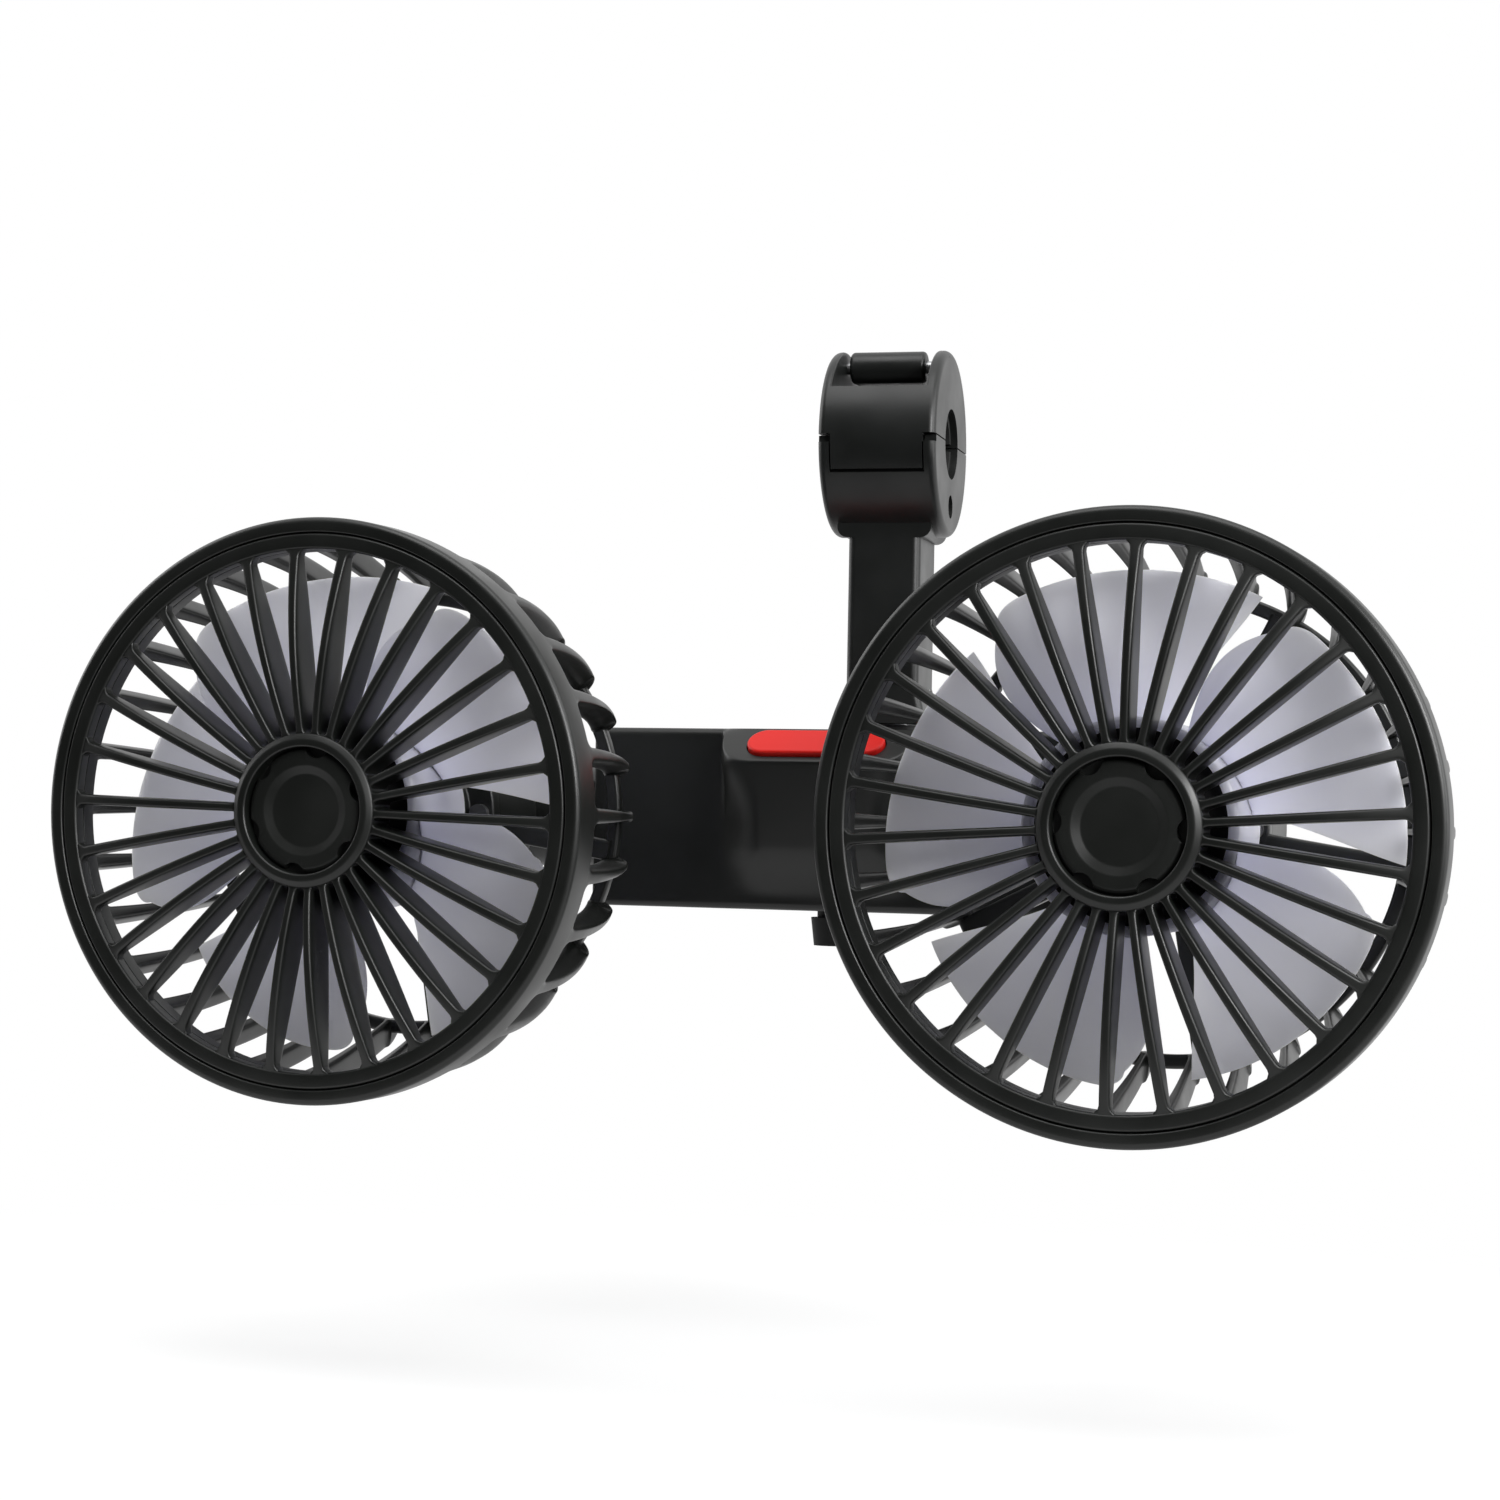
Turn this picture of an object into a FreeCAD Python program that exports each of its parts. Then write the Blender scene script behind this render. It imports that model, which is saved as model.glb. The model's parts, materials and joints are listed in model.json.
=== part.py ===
import FreeCAD, Part
import math
import os
import re
import Sketcher

# Dual head car fan on a headrest clamp, in millimetres.
# The origin is the centre of the clamp bore. +X runs along the body bar, +Y to the rear, +Z up.
# Each fan head has its own local frame: its front centre, with the fan axis along +Y.

SIZES = {
    # Whole fan
    "head_spacing": 161.0,
    "head_reach": 92.0,
    "clamp_height": 80.8,
    "arm_offset": 10.8,
    "arm_turn": 5.0,
    "moving_gap": 0.3,
    "running_fit": 0.05,
    "journal_fit": 0.1,
    # Front grille
    "head_radius": 57.5,
    "rim_width": 3.05,
    "rim_bevel": 1.2,
    "seam_gap": 0.2,
    "ring_width": 3.1,
    "ring_depth": 3.0,
    "spoke_count": 30,
    "spoke_width": 2.3,
    "spoke_neck": 1.6,
    "spoke_depth": 5.0,
    "spoke_crown": 2.4,
    "slot_round": 1.3,
    "left_grille_turn": 4.4,
    "right_grille_turn": 9.7,
    "hub_radius": 15.1,
    "hub_proud": 2.2,
    "hub_bevel": 1.0,
    "hub_wall": 2.2,
    "hub_floor": 2.4,
    "hub_depth": 6.8,
    # Hub cap
    "cap_radius": 12.2,
    "cap_sink": 3.4,
    "cap_proud": 0.6,
    "cap_bevel": 0.5,
    "cap_dish": 7.6,
    "notch_count": 6,
    "notch_radius": 2.0,
    # Rear cage
    "rim_depth": 6.5,
    "band_depth": 8.6,
    "cage_depth": 51.3,
    "cage_belly": 55.2,
    "rear_radius": 46.6,
    "rear_ring_width": 2.8,
    "rear_ring_depth": 2.7,
    "rib_count": 30,
    "rib_depth": 4.6,
    "rib_root": 3.4,
    "rib_tip": 1.2,
    "rib_end_round": 2.6,
    "rib_proud": 3.1,
    "rib_gap_round": 1.8,
    "spider_count": 5,
    "spider_width": 4.2,
    "spider_turn": -9.0,
    "plate_depth": 3.5,
    "cup_wall": 1.2,
    "cup_length": 10.5,
    # Motor
    "can_radius": 12.2,
    "can_front": 33.0,
    "can_length": 30.0,
    "can_fit": 0.1,
    "shaft_radius": 1.0,
    "shaft_length": 34.0,
    "bush_radius": 3.0,
    "bush_length": 5.0,
    # Rotor
    "blade_count": 5,
    "blade_radius": 47.5,
    "blade_sweep": 60.0,
    "blade_depth": 16.0,
    "blade_middle": 18.4,
    "blade_wall": 1.8,
    "blade_trail": 30.0,
    "blade_heel": 14.0,
    "blade_corner": 24.0,
    "blade_shoulder": 44.5,
    "blade_brow": 30.5,
    "blade_lead": 40.0,
    "blade_toe": 36.0,
    "left_rotor_turn": 31.0,
    "right_rotor_turn": 22.5,
    "rotor_front": 7.8,
    "rotor_radius": 20.0,
    "rotor_wall": 2.0,
    "rotor_length": 23.6,
    "core_sink": 2.4,
    "core_skirt": 8.0,
    "boss_radius": 4.5,
    # Motor pod and neck
    "pod_radius": 19.0,
    "pod_wall": 2.0,
    "pod_length": 26.0,
    "pod_shoulder": 9.0,
    "screw_circle": 16.0,
    "screw_count": 3,
    "screw_radius": 1.25,
    "screw_head": 2.0,
    "screw_head_depth": 1.4,
    "screw_length": 9.0,
    "screw_boss": 2.3,
    "neck_radius": 11.2,
    "neck_bend": 13.0,
    "trunnion_radius": 7.0,
    "flange_radius": 9.5,
    "flange_depth": 2.5,
    "friction_depth": 1.2,
    "friction_radius": 10.5,
    # Body bar
    "bar_length": 104.0,
    "bar_height": 38.5,
    "bar_depth": 25.0,
    "bar_wall": 2.2,
    "bar_end_wall": 3.0,
    "bar_round": 1.6,
    "bar_end_round": 1.0,
    "bulge_length": 40.8,
    "bulge_front": 9.5,
    "bulge_fillet": 3.0,
    "bulge_corner": 6.0,
    "slope_drop": 7.0,
    "chin_height": 3.4,
    "chin_round": 5.2,
    "body_screw_x": 33.0,
    "body_screw_z": 12.6,
    "body_boss": 3.3,
    # Power button and board
    "button_length": 30.0,
    "button_width": 8.2,
    "button_proud": 1.2,
    "button_lip": 0.9,
    "button_travel": 1.0,
    "button_round": 0.6,
    "board_depth": 1.6,
    "board_width": 8.6,
    "board_drop": 8.4,
    "board_length": 33.0,
    "switch_size": 6.0,
    "switch_height": 2.6,
    "plunger_radius": 1.6,
    # Cable gland
    "gland_neck": 4.25,
    "gland_collar": 5.6,
    "gland_tip": 4.9,
    "gland_step": 1.6,
    "gland_drop": 7.6,
    "gland_bore": 2.0,
    # Swivel
    "stud_radius": 6.0,
    "stud_height": 15.0,
    "stud_flange": 9.0,
    "stud_flange_depth": 2.6,
    "groove_radius": 3.6,
    "groove_height": 8.0,
    "pin_radius": 1.4,
    "washer_radius": 9.6,
    "washer_depth": 1.2,
    # Arm and clamp
    "arm_width": 15.5,
    "arm_depth": 18.6,
    "arm_corner": 1.6,
    "foot_width": 19.6,
    "foot_depth": 21.4,
    "foot_height": 8.0,
    "drum_radius": 19.9,
    "drum_length": 25.0,
    "drum_round": 1.5,
    "arm_flare": 9.4,
    "flare_height": 3.9,
    "pad_seat": 7.5,
    "post_radius": 6.0,
    "pad_gap": 0.8,
    "pad_inset": 1.5,
    "tongue_width": 19.5,
    "tongue_drop": 7.2,
    "tongue_depth": 2.9,
    "tongue_gap": 0.7,
    "shoulder_gap": 1.6,
    "shoulder_depth": 1.8,
    "side_hole": 2.5,
    "side_hole_drop": 13.4,
    "hinge_offset": 23.4,
    "knuckle_radius": 3.1,
    "knuckle_length": 9.4,
    "knuckle_web": 13.5,
    "knuckle_root": 13.8,
    "hinge_pin": 1.5,
    "hinge_width": 16.0,
    "lever_floor": 10.4,
    "lever_height": 16.6,
    "lever_radius": 3.4,
    "lever_length": 16.4,
    "lever_recess": 20.2,
    "recess_shift": -0.2,
    "lever_shift": -1.3,
    "lever_round": 0.9,
    "lever_tail_depth": 3.0,
    "lever_pin_radius": 1.3,
    "lever_pin_seat": 1.0,
    "cheek_round": 0.5,
}

doc = FreeCAD.newDocument("DualHeadCarFan")
sheet = doc.addObject("Spreadsheet::Sheet", "Sizes")
for row, (alias, number) in enumerate(SIZES.items(), 1):
    sheet.set("A%d" % row, alias)
    sheet.set("B%d" % row, str(number))
    sheet.setAlias("B%d" % row, alias)
doc.recompute()

NODES = []


# Names in a formula become references to the sheet
def formula(text):
    return re.sub(r"[a-z_]+", lambda word: ("Sizes." if word.group() in SIZES else "") + word.group(), text)


# The number that a formula has with the sheet's present sizes
def size(text):
    return float(sheet.evalExpression(formula(text)))


def bind(thing, **formulas):
    for name, text in formulas.items():
        thing.setExpression(name.replace("__", "."), formula(text))
    return thing


def node(thing, label):
    thing.Label = label
    NODES.append(thing)
    return thing


# How far the middle of a rounded corner lies from the sharp corner, as a share of its radius
BEND = 0.29

# Derived places, as formulas of the driving sizes
SEAM = "(head_radius - rim_width)"
RING_OUT = "(head_radius - rim_width - seam_gap)"
RING_IN = "(head_radius - rim_width - seam_gap - ring_width)"
CAP_SEAT = "(cap_sink - hub_proud)"
HALF_PITCH = "tan(180 deg / spoke_count)"
RIB_PITCH = "tan(180 deg / rib_count)"
CAGE_RING_FRONT = "(cage_depth - rear_ring_depth)"
PLATE_FRONT = "(cage_depth - plate_depth)"
CAN_SEAT = "(can_radius + can_fit)"
POD_END = "(cage_depth + pod_length)"
BAR_END = "(head_spacing / 2 - bar_length / 2)"
NECK_END = "(head_spacing / 2 - bar_length / 2 - friction_depth - moving_gap)"
TRUNNION_IN = "(head_spacing / 2 - bar_length / 2 + bar_end_wall + moving_gap)"
BAR_TOP = "(bar_height / 2)"
BAR_FRONT = "(bar_depth / 2)"
BULGE_FRONT = "(bar_depth / 2 + bulge_front)"
SLOPE_ANGLE = "atan(slope_drop / bulge_front)"
ARM_FOOT = "(bar_height / 2 + washer_depth + moving_gap - clamp_height)"
TURN_BORE = "(stud_radius + journal_fit)"
TILT_BORE = "(trunnion_radius + journal_fit)"
LEVER_PIN = "(lever_recess + 2 * lever_pin_seat)"


# Sketches and PartDesign features
def origin_feature(body, role):
    return [feature for feature in body.Origin.OriginFeatures if feature.Role == role][0]


def new_sketch(body, name, role, lift=None, turn=None):
    sketch = body.newObject("Sketcher::SketchObject", name)
    sketch.AttachmentSupport = [(origin_feature(body, role), "")]
    sketch.MapMode = "FlatFace"
    if turn is not None:
        bind(sketch, AttachmentOffset__Rotation__Angle=turn)
    if lift is not None:
        bind(sketch, AttachmentOffset__Base__z=lift)
    return sketch


def pin_down(sketch, edge, end, spot):
    for kind, text in zip(("DistanceX", "DistanceY"), spot):
        index = sketch.addConstraint(Sketcher.Constraint(kind, -1, 1, edge, end, size(text)))
        sketch.setExpression("Constraints[%d]" % index, formula(text))


def arc_through(first, middle, last):
    circle = Part.Circle(first, middle, last)
    centre = circle.Center
    angles = [math.atan2(spot.y - centre.y, spot.x - centre.x) for spot in (first, last)]
    turns_left = (middle - first).cross(last - middle).z > 0
    if not turns_left:
        angles.reverse()
    round_circle = Part.Circle(centre, FreeCAD.Vector(0, 0, 1), circle.Radius)
    return Part.ArcOfCircle(round_circle, angles[0], angles[1]), turns_left


# Closed outline whose corners are bound to the sheet. An entry with four formulas is a corner
# and the point that the round edge leaving it passes through.
def outline(body, name, role, corners, lift=None, turn=None):
    sketch = new_sketch(body, name, role, lift, turn)
    spots = [FreeCAD.Vector(size(corner[0]), size(corner[1]), 0) for corner in corners]
    ends = []
    for index, corner in enumerate(corners):
        following = spots[(index + 1) % len(spots)]
        if len(corner) == 2:
            sketch.addGeometry(Part.LineSegment(spots[index], following))
            ends.append((1, 2))
        else:
            middle = FreeCAD.Vector(size(corner[2]), size(corner[3]), 0)
            arc, turns_left = arc_through(spots[index], middle, following)
            sketch.addGeometry(arc)
            ends.append((1, 2) if turns_left else (2, 1))
    for index, corner in enumerate(corners):
        after = (index + 1) % len(corners)
        joint = (index, ends[index][1], after, ends[after][0])
        sketch.addConstraint(Sketcher.Constraint("Coincident", *joint))
        pin_down(sketch, index, ends[index][0], corner[:2])
    for index, corner in enumerate(corners):
        if len(corner) == 4:
            middle = FreeCAD.Vector(size(corner[2]), size(corner[3]), 0)
            point = sketch.addGeometry(Part.Point(middle), True)
            pin_down(sketch, point, 1, corner[2:])
            sketch.addConstraint(Sketcher.Constraint("PointOnObject", point, 1, index))
    return sketch


def circle_sketch(body, name, role, x, y, radius, lift=None, turn=None):
    sketch = new_sketch(body, name, role, lift, turn)
    centre = FreeCAD.Vector(size(x), size(y), 0)
    sketch.addGeometry(Part.Circle(centre, FreeCAD.Vector(0, 0, 1), size(radius)))
    pin_down(sketch, 0, 3, (x, y))
    index = sketch.addConstraint(Sketcher.Constraint("Radius", 0, size(radius)))
    sketch.setExpression("Constraints[%d]" % index, formula(radius))
    return sketch


# Corners of a rectangle, from its lowest and highest formulas
def rectangle(left, low, right, high):
    return [(left, low), (right, low), (right, high), (left, high)]


# Corners of a rectangle about the origin, with rounded corners
def rounded_rectangle(width, height, corner):
    right = "(%s / 2)" % width
    top = "(%s / 2)" % height
    flat_x = "(%s / 2 - %s)" % (width, corner)
    flat_y = "(%s / 2 - %s)" % (height, corner)
    soft_x = "(%s / 2 - %s * %s)" % (width, BEND, corner)
    soft_y = "(%s / 2 - %s * %s)" % (height, BEND, corner)
    return [("-" + flat_x, "-" + top), (flat_x, "-" + top, soft_x, "-" + soft_y), (right, "-" + flat_y),
            (right, flat_y, soft_x, soft_y), (flat_x, top), ("-" + flat_x, top, "-" + soft_x, soft_y),
            ("-" + right, flat_y), ("-" + right, "-" + flat_y, "-" + soft_x, "-" + soft_y)]


def new_body(label):
    body = doc.addObject("PartDesign::Body", label)
    return node(body, label)


def revolve(body, name, corners):
    feature = body.newObject("PartDesign::Revolution", name)
    profile = outline(body, name + "_profile", "XY_Plane", corners)
    feature.Profile = profile
    feature.ReferenceAxis = (profile, ["V_Axis"])
    feature.Angle = 360
    return feature


def extrude(body, kind, name, sketch, length=None, symmetric=False, reverse=False):
    feature = body.newObject("PartDesign::" + kind, name)
    feature.Profile = sketch
    if length is None:
        feature.Type = "ThroughAll"
    else:
        bind(feature, Length=length)
    if symmetric:
        feature.SideType = "Symmetric"
    feature.Reversed = reverse
    return feature


# Polar copies of a feature about an axis of its body
def repeat(body, name, feature, axis, count):
    pattern = body.newObject("PartDesign::PolarPattern", name)
    pattern.Originals = [feature]
    pattern.Axis = (origin_feature(body, axis), [""])
    pattern.Angle = 360
    bind(pattern, Occurrences=count)
    body.Tip = pattern
    return pattern


# Rounds the edges of a body's last feature that a test picks
def soften(body, name, radius, picks):
    doc.recompute()
    before = body.Tip
    edges = ["Edge%d" % number for number, edge in enumerate(before.Shape.Edges, 1) if picks(edge)]
    soft = body.newObject("PartDesign::Fillet", name)
    soft.Base = (before, edges)
    return bind(soft, Radius=radius)


def near(number, text):
    return abs(number - size(text)) < 0.001


# Part primitives
TURNS = {
    "X": FreeCAD.Rotation(FreeCAD.Vector(0, 1, 0), 90),
    "Y": FreeCAD.Rotation(FreeCAD.Vector(1, 0, 0), -90),
    "Z": FreeCAD.Rotation(),
}


def cylinder(name, radius, length, axis, x="0", y="0", z="0"):
    rod = doc.addObject("Part::Cylinder", name)
    rod.Placement = FreeCAD.Placement(FreeCAD.Vector(), TURNS[axis])
    bind(rod, Radius=radius, Height=length)
    return bind(rod, Placement__Base__x=x, Placement__Base__y=y, Placement__Base__z=z)


def fuse(name, *shapes):
    joined = doc.addObject("Part::MultiFuse", name)
    joined.Shapes = list(shapes)
    joined.Refine = True
    return joined


def cut(name, base, tool):
    remains = doc.addObject("Part::Cut", name)
    remains.Base = base
    remains.Tool = tool
    return remains


# Places of the three groups of pieces
def place_head(thing, side, toward_bar=False):
    if toward_bar and side > 0:
        half_turn = FreeCAD.Rotation(FreeCAD.Vector(0, 1, 0), 180)
        thing.Placement = FreeCAD.Placement(FreeCAD.Vector(), half_turn)
    bind(thing, Placement__Base__x="%d * head_spacing / 2 - arm_offset" % side)
    return bind(thing, Placement__Base__y="-head_reach", Placement__Base__z="-clamp_height")


def place_bar(thing):
    return bind(thing, Placement__Base__x="-arm_offset", Placement__Base__z="-clamp_height")


def place_clamp(thing):
    thing.Placement = FreeCAD.Placement(FreeCAD.Vector(), FreeCAD.Rotation(FreeCAD.Vector(0, 0, 1), 1))
    return bind(thing, Placement__Rotation__Angle="arm_turn")


# Front grille: a dished disc with a hub ring, opened by a ring of slots with round outer ends
def front_grille(side_name, side):
    body = new_body(side_name + "_front_grille")
    mouth = "(cap_radius + seam_gap)"
    inner = "(hub_radius - hub_wall)"
    floor = "(cap_sink - hub_proud + hub_floor)"
    middle = "((hub_radius + head_radius) / 2)"
    revolve(body, side_name + "_dish", [
        ("0", CAP_SEAT), (mouth, CAP_SEAT), (mouth, "-hub_proud"), ("hub_radius - hub_bevel", "-hub_proud"),
        ("hub_radius", "hub_bevel - hub_proud", middle, "-spoke_crown"),
        (RING_IN, "0"), (RING_OUT, "0"), (RING_OUT, "ring_depth"), (RING_IN, "ring_depth"),
        (middle, "spoke_depth"), ("hub_radius", "hub_depth"), (inner, "hub_depth"), (inner, floor),
        ("0", floor)])
    start = "(hub_radius + spoke_neck / 2)"
    far = "(%s - slot_round)" % RING_IN
    start_half = "(%s * %s - spoke_neck / 2)" % (start, HALF_PITCH)
    far_half = "(%s * %s - spoke_width / 2)" % (far, HALF_PITCH)
    slot = outline(body, side_name + "_slot_plan", "XZ_Plane", [
        (start, "-" + start_half), (far, "-" + far_half, RING_IN, "0"), (far, far_half),
        (start, start_half, "hub_radius", "0")], turn=side_name + "_grille_turn")
    opening = extrude(body, "Pocket", side_name + "_slot", slot, symmetric=True)
    repeat(body, side_name + "_slots", opening, "Y_Axis", "spoke_count")
    return place_head(body, side)


# Hub cap: a raised ring with notches in its edge, round a shallow dish
def hub_cap(side_name, side):
    body = new_body(side_name + "_hub_cap")
    dish = "(cap_bevel - cap_proud)"
    revolve(body, side_name + "_cap_disc", [
        ("0", CAP_SEAT), ("cap_radius", CAP_SEAT), ("cap_radius", dish),
        ("cap_radius - cap_bevel", "-cap_proud"),
        ("cap_dish + cap_bevel", "-cap_proud"), ("cap_dish", dish), ("0", dish)])
    notch = circle_sketch(body, side_name + "_notch_plan", "XZ_Plane",
                          "cap_radius + notch_radius / 3", "0", "notch_radius")
    bite = extrude(body, "Pocket", side_name + "_notch", notch, symmetric=True)
    repeat(body, side_name + "_notches", bite, "Y_Axis", "notch_count")
    return place_head(body, side)


# An outline on a plane at a given distance from the fan axis, turned by half a pitch to lie between ribs
def between_ribs(body, name, corners, distance):
    sketch = outline(body, name, "YZ_Plane", corners)
    half_pitch = "180 deg / rib_count"
    tilted = FreeCAD.Rotation(FreeCAD.Vector(1, 0, 0), size(half_pitch))
    sketch.AttachmentOffset = FreeCAD.Placement(FreeCAD.Vector(), tilted)
    bind(sketch, AttachmentOffset__Rotation__Angle=half_pitch)
    bind(sketch, AttachmentOffset__Base__y="-%s * sin(%s)" % (distance, half_pitch))
    return bind(sketch, AttachmentOffset__Base__z="%s * cos(%s)" % (distance, half_pitch))


# Rear cage: rim, convex side ribs, rear ring, spider arms and the cup that holds the motor
def rear_cage(side_name, side):
    body = new_body(side_name + "_rear_cage")
    waist = "((rim_depth + cage_depth) / 2)"
    ring_inside = "(rear_radius - rear_ring_width)"
    inner_belly = "(cage_belly - rib_depth)"
    revolve(body, side_name + "_cage_wall", [
        (SEAM, "0"), ("head_radius - rim_bevel", "0"), ("head_radius", "rim_bevel"),
        ("head_radius", "rim_depth", "cage_belly", waist),
        ("rear_radius + rib_proud", "cage_depth - rib_end_round",
         "rear_radius + rib_proud - %s * rib_end_round" % BEND, "cage_depth - %s * rib_end_round" % BEND),
        ("rear_radius + rib_proud - rib_end_round", "cage_depth"), (ring_inside, "cage_depth"),
        (ring_inside, CAGE_RING_FRONT, inner_belly, waist),
        ("head_radius - rib_depth", "band_depth"), (RING_IN, "rim_depth"), (RING_IN, "ring_depth"),
        (SEAM, "ring_depth")])
    front_half = "(head_radius * %s - rib_root / 2)" % RIB_PITCH
    rear_half = "(rear_radius * %s - rib_tip / 2)" % RIB_PITCH
    start = "(band_depth + rib_gap_round)"
    gap = between_ribs(body, side_name + "_rib_gap_plan", [
        (start, "-" + front_half), (CAGE_RING_FRONT, "-" + rear_half), (CAGE_RING_FRONT, rear_half),
        (start, front_half, "band_depth", "0")], "(rear_radius - rear_ring_width - rib_depth / 2)")
    opening = extrude(body, "Pocket", side_name + "_rib_gap", gap, "head_radius", reverse=True)
    repeat(body, side_name + "_rib_gaps", opening, "Y_Axis", "rib_count")
    behind = "(cage_depth + rear_ring_depth)"
    notch = between_ribs(body, side_name + "_tip_gap_plan", rectangle(
        "(cage_depth - 1.5 * rear_ring_depth)", "-" + rear_half, behind, rear_half), "rear_radius")
    tip_opening = extrude(body, "Pocket", side_name + "_tip_gap", notch, "head_radius", reverse=True)
    repeat(body, side_name + "_tip_gaps", tip_opening, "Y_Axis", "rib_count")
    arm = outline(body, side_name + "_spider_plan", "XZ_Plane",
                  rectangle("pod_radius - spider_width / 2", "-spider_width / 2",
                            ring_inside + " + rear_ring_width / 2", "spider_width / 2"),
                  lift="-cage_depth", turn="spider_turn")
    spoke = extrude(body, "Pad", side_name + "_spider_arm", arm, "plate_depth")
    repeat(body, side_name + "_spider", spoke, "Y_Axis", "spider_count")
    cup = "(can_radius + can_fit + cup_wall)"
    cup_front = "(cage_depth - plate_depth - cup_length)"
    revolve(body, side_name + "_motor_cup", [
        (CAN_SEAT, cup_front), (cup, cup_front), (cup, PLATE_FRONT), ("pod_radius", PLATE_FRONT),
        ("pod_radius", "cage_depth"), (CAN_SEAT, "cage_depth")])
    hole = circle_sketch(body, side_name + "_screw_hole_plan", "XZ_Plane",
                         "screw_circle", "0", "screw_radius", lift="-cage_depth")
    drilled = extrude(body, "Pocket", side_name + "_screw_hole", hole, "2 * plate_depth", symmetric=True)
    repeat(body, side_name + "_screw_holes", drilled, "Y_Axis", "screw_count")
    return place_head(body, side)


# Rotor: a hub ring with wide helical blades, pressed on a core. Seen from the front, each blade's
# anticlockwise edge is nearest and has a round corner; its clockwise edge is farthest and ends sharp.
def polar(radius, degrees, depth=0.0):
    angle = math.radians(degrees)
    return FreeCAD.Vector(radius * math.cos(angle), depth, radius * math.sin(angle))


def blade_surface(overlap):
    sweep = size("blade_sweep")
    inner = size("rotor_radius - rotor_wall") - overlap
    outer = size("blade_radius") + overlap
    rows = []
    for share in (0.0, 0.25, 0.5, 0.75, 1.0):
        radius = inner + share * (outer - inner)
        line = []
        for step in range(-6, 7):
            turn = step / 8.0
            depth = size("blade_middle") - size("blade_depth") * turn
            line.append(polar(radius, sweep * turn, depth))
        rows.append(line)
    surface = Part.BSplineSurface()
    surface.interpolate(rows)
    return surface.toShape()


def blade_outline():
    trail, heel = size("blade_trail"), size("blade_heel")
    corner, brow = size("blade_corner"), size("blade_brow")
    lead, toe = size("blade_lead"), size("blade_toe")
    root = size("rotor_radius - rotor_wall / 2")
    tip = size("blade_radius")
    shoulder = size("blade_shoulder")
    middle = (root + tip) / 2
    round_radius = tip - BEND * (tip - shoulder)
    round_turn = brow - BEND * (brow - corner)
    edges = [
        Part.Arc(polar(root, toe), polar(root, 0), polar(root, -heel)),
        Part.Arc(polar(root, -heel), polar(middle, -(2 * trail + heel) / 3), polar(tip, -trail)),
        Part.Arc(polar(tip, -trail), polar(tip, 0), polar(tip, corner)),
        Part.Arc(polar(tip, corner), polar(round_radius, round_turn), polar(shoulder, brow)),
        Part.Arc(polar(shoulder, brow), polar(middle, lead), polar(root, toe)),
    ]
    return Part.Face(Part.Wire([edge.toShape() for edge in edges]))


def turned(points):
    spots = [FreeCAD.Vector(x, y, 0) for x, y in points]
    face = Part.Face(Part.makePolygon(spots + spots[:1]))
    return face.revolve(FreeCAD.Vector(), FreeCAD.Vector(0, 1, 0), 360)


def rotor_shape():
    axis = FreeCAD.Vector(0, 1, 0)
    front = size("rotor_front")
    rear = front + size("rotor_length")
    wall = size("rotor_wall")
    radius = size("rotor_radius")
    hub = turned([(radius - wall, front), (radius, front), (radius, rear), (radius - wall, rear)])
    slab = blade_surface(wall / 2).extrude(axis * size("blade_wall"))
    prism = blade_outline().extrude(axis * size("cage_depth"))
    blade = slab.common(prism)
    count = int(size("blade_count"))
    blades = []
    for index in range(count):
        copy = blade.copy()
        copy.rotate(FreeCAD.Vector(), axis, 360.0 * index / count)
        blades.append(copy)
    return hub.multiFuse(blades).removeSplitter()


# Rotor core: a black cup inside the hub ring, with a boss on the motor shaft
def core_shape():
    front = size("rotor_front + core_sink")
    skirt = front + size("core_skirt")
    wall = size("rotor_wall")
    radius = size("rotor_radius - rotor_wall")
    boss = size("boss_radius")
    bore = size("shaft_radius")
    rear = size("rotor_front + rotor_length - rotor_wall")
    return turned([(bore, front), (radius, front), (radius, skirt), (radius - wall, skirt),
                   (radius - wall, front + wall), (boss, front + wall), (boss, rear), (bore, rear)])


def rotor(side_name, side, wheel_shape, inner_shape):
    wheel = doc.addObject("Part::Feature", side_name + "_rotor")
    wheel.Shape = wheel_shape
    towards_viewer = FreeCAD.Rotation(FreeCAD.Vector(0, -1, 0), 1)
    wheel.Placement = FreeCAD.Placement(FreeCAD.Vector(), towards_viewer)
    bind(wheel, Placement__Rotation__Angle=side_name + "_rotor_turn")
    place_head(node(wheel, side_name + "_rotor"), side)
    core = doc.addObject("Part::Feature", side_name + "_rotor_core")
    core.Shape = inner_shape
    return place_head(node(core, side_name + "_rotor_core"), side)


# Motor: shaft, can and sintered bush
def motor(side_name, side):
    shaft = cylinder(side_name + "_motor_shaft", "shaft_radius", "shaft_length", "Y")
    node(shaft, side_name + "_motor_shaft")
    place_head(shaft, side)
    bind(shaft, Placement__Base__y="rotor_front + core_sink - head_reach")
    can = cylinder(side_name + "_can_drum", "can_radius", "can_length", "Y", y="can_front")
    well = cylinder(side_name + "_can_well", "bush_radius", "can_length / 2", "Y", y="can_front")
    place_head(node(cut(side_name + "_motor_can", can, well), side_name + "_motor_can"), side)
    ring = cylinder(side_name + "_bush_ring", "bush_radius", "bush_length", "Y", y="can_front")
    bore = cylinder(side_name + "_bush_bore", "shaft_radius + running_fit", "bush_length", "Y",
                    y="can_front")
    place_head(node(cut(side_name + "_motor_bush", ring, bore), side_name + "_motor_bush"), side)


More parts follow.
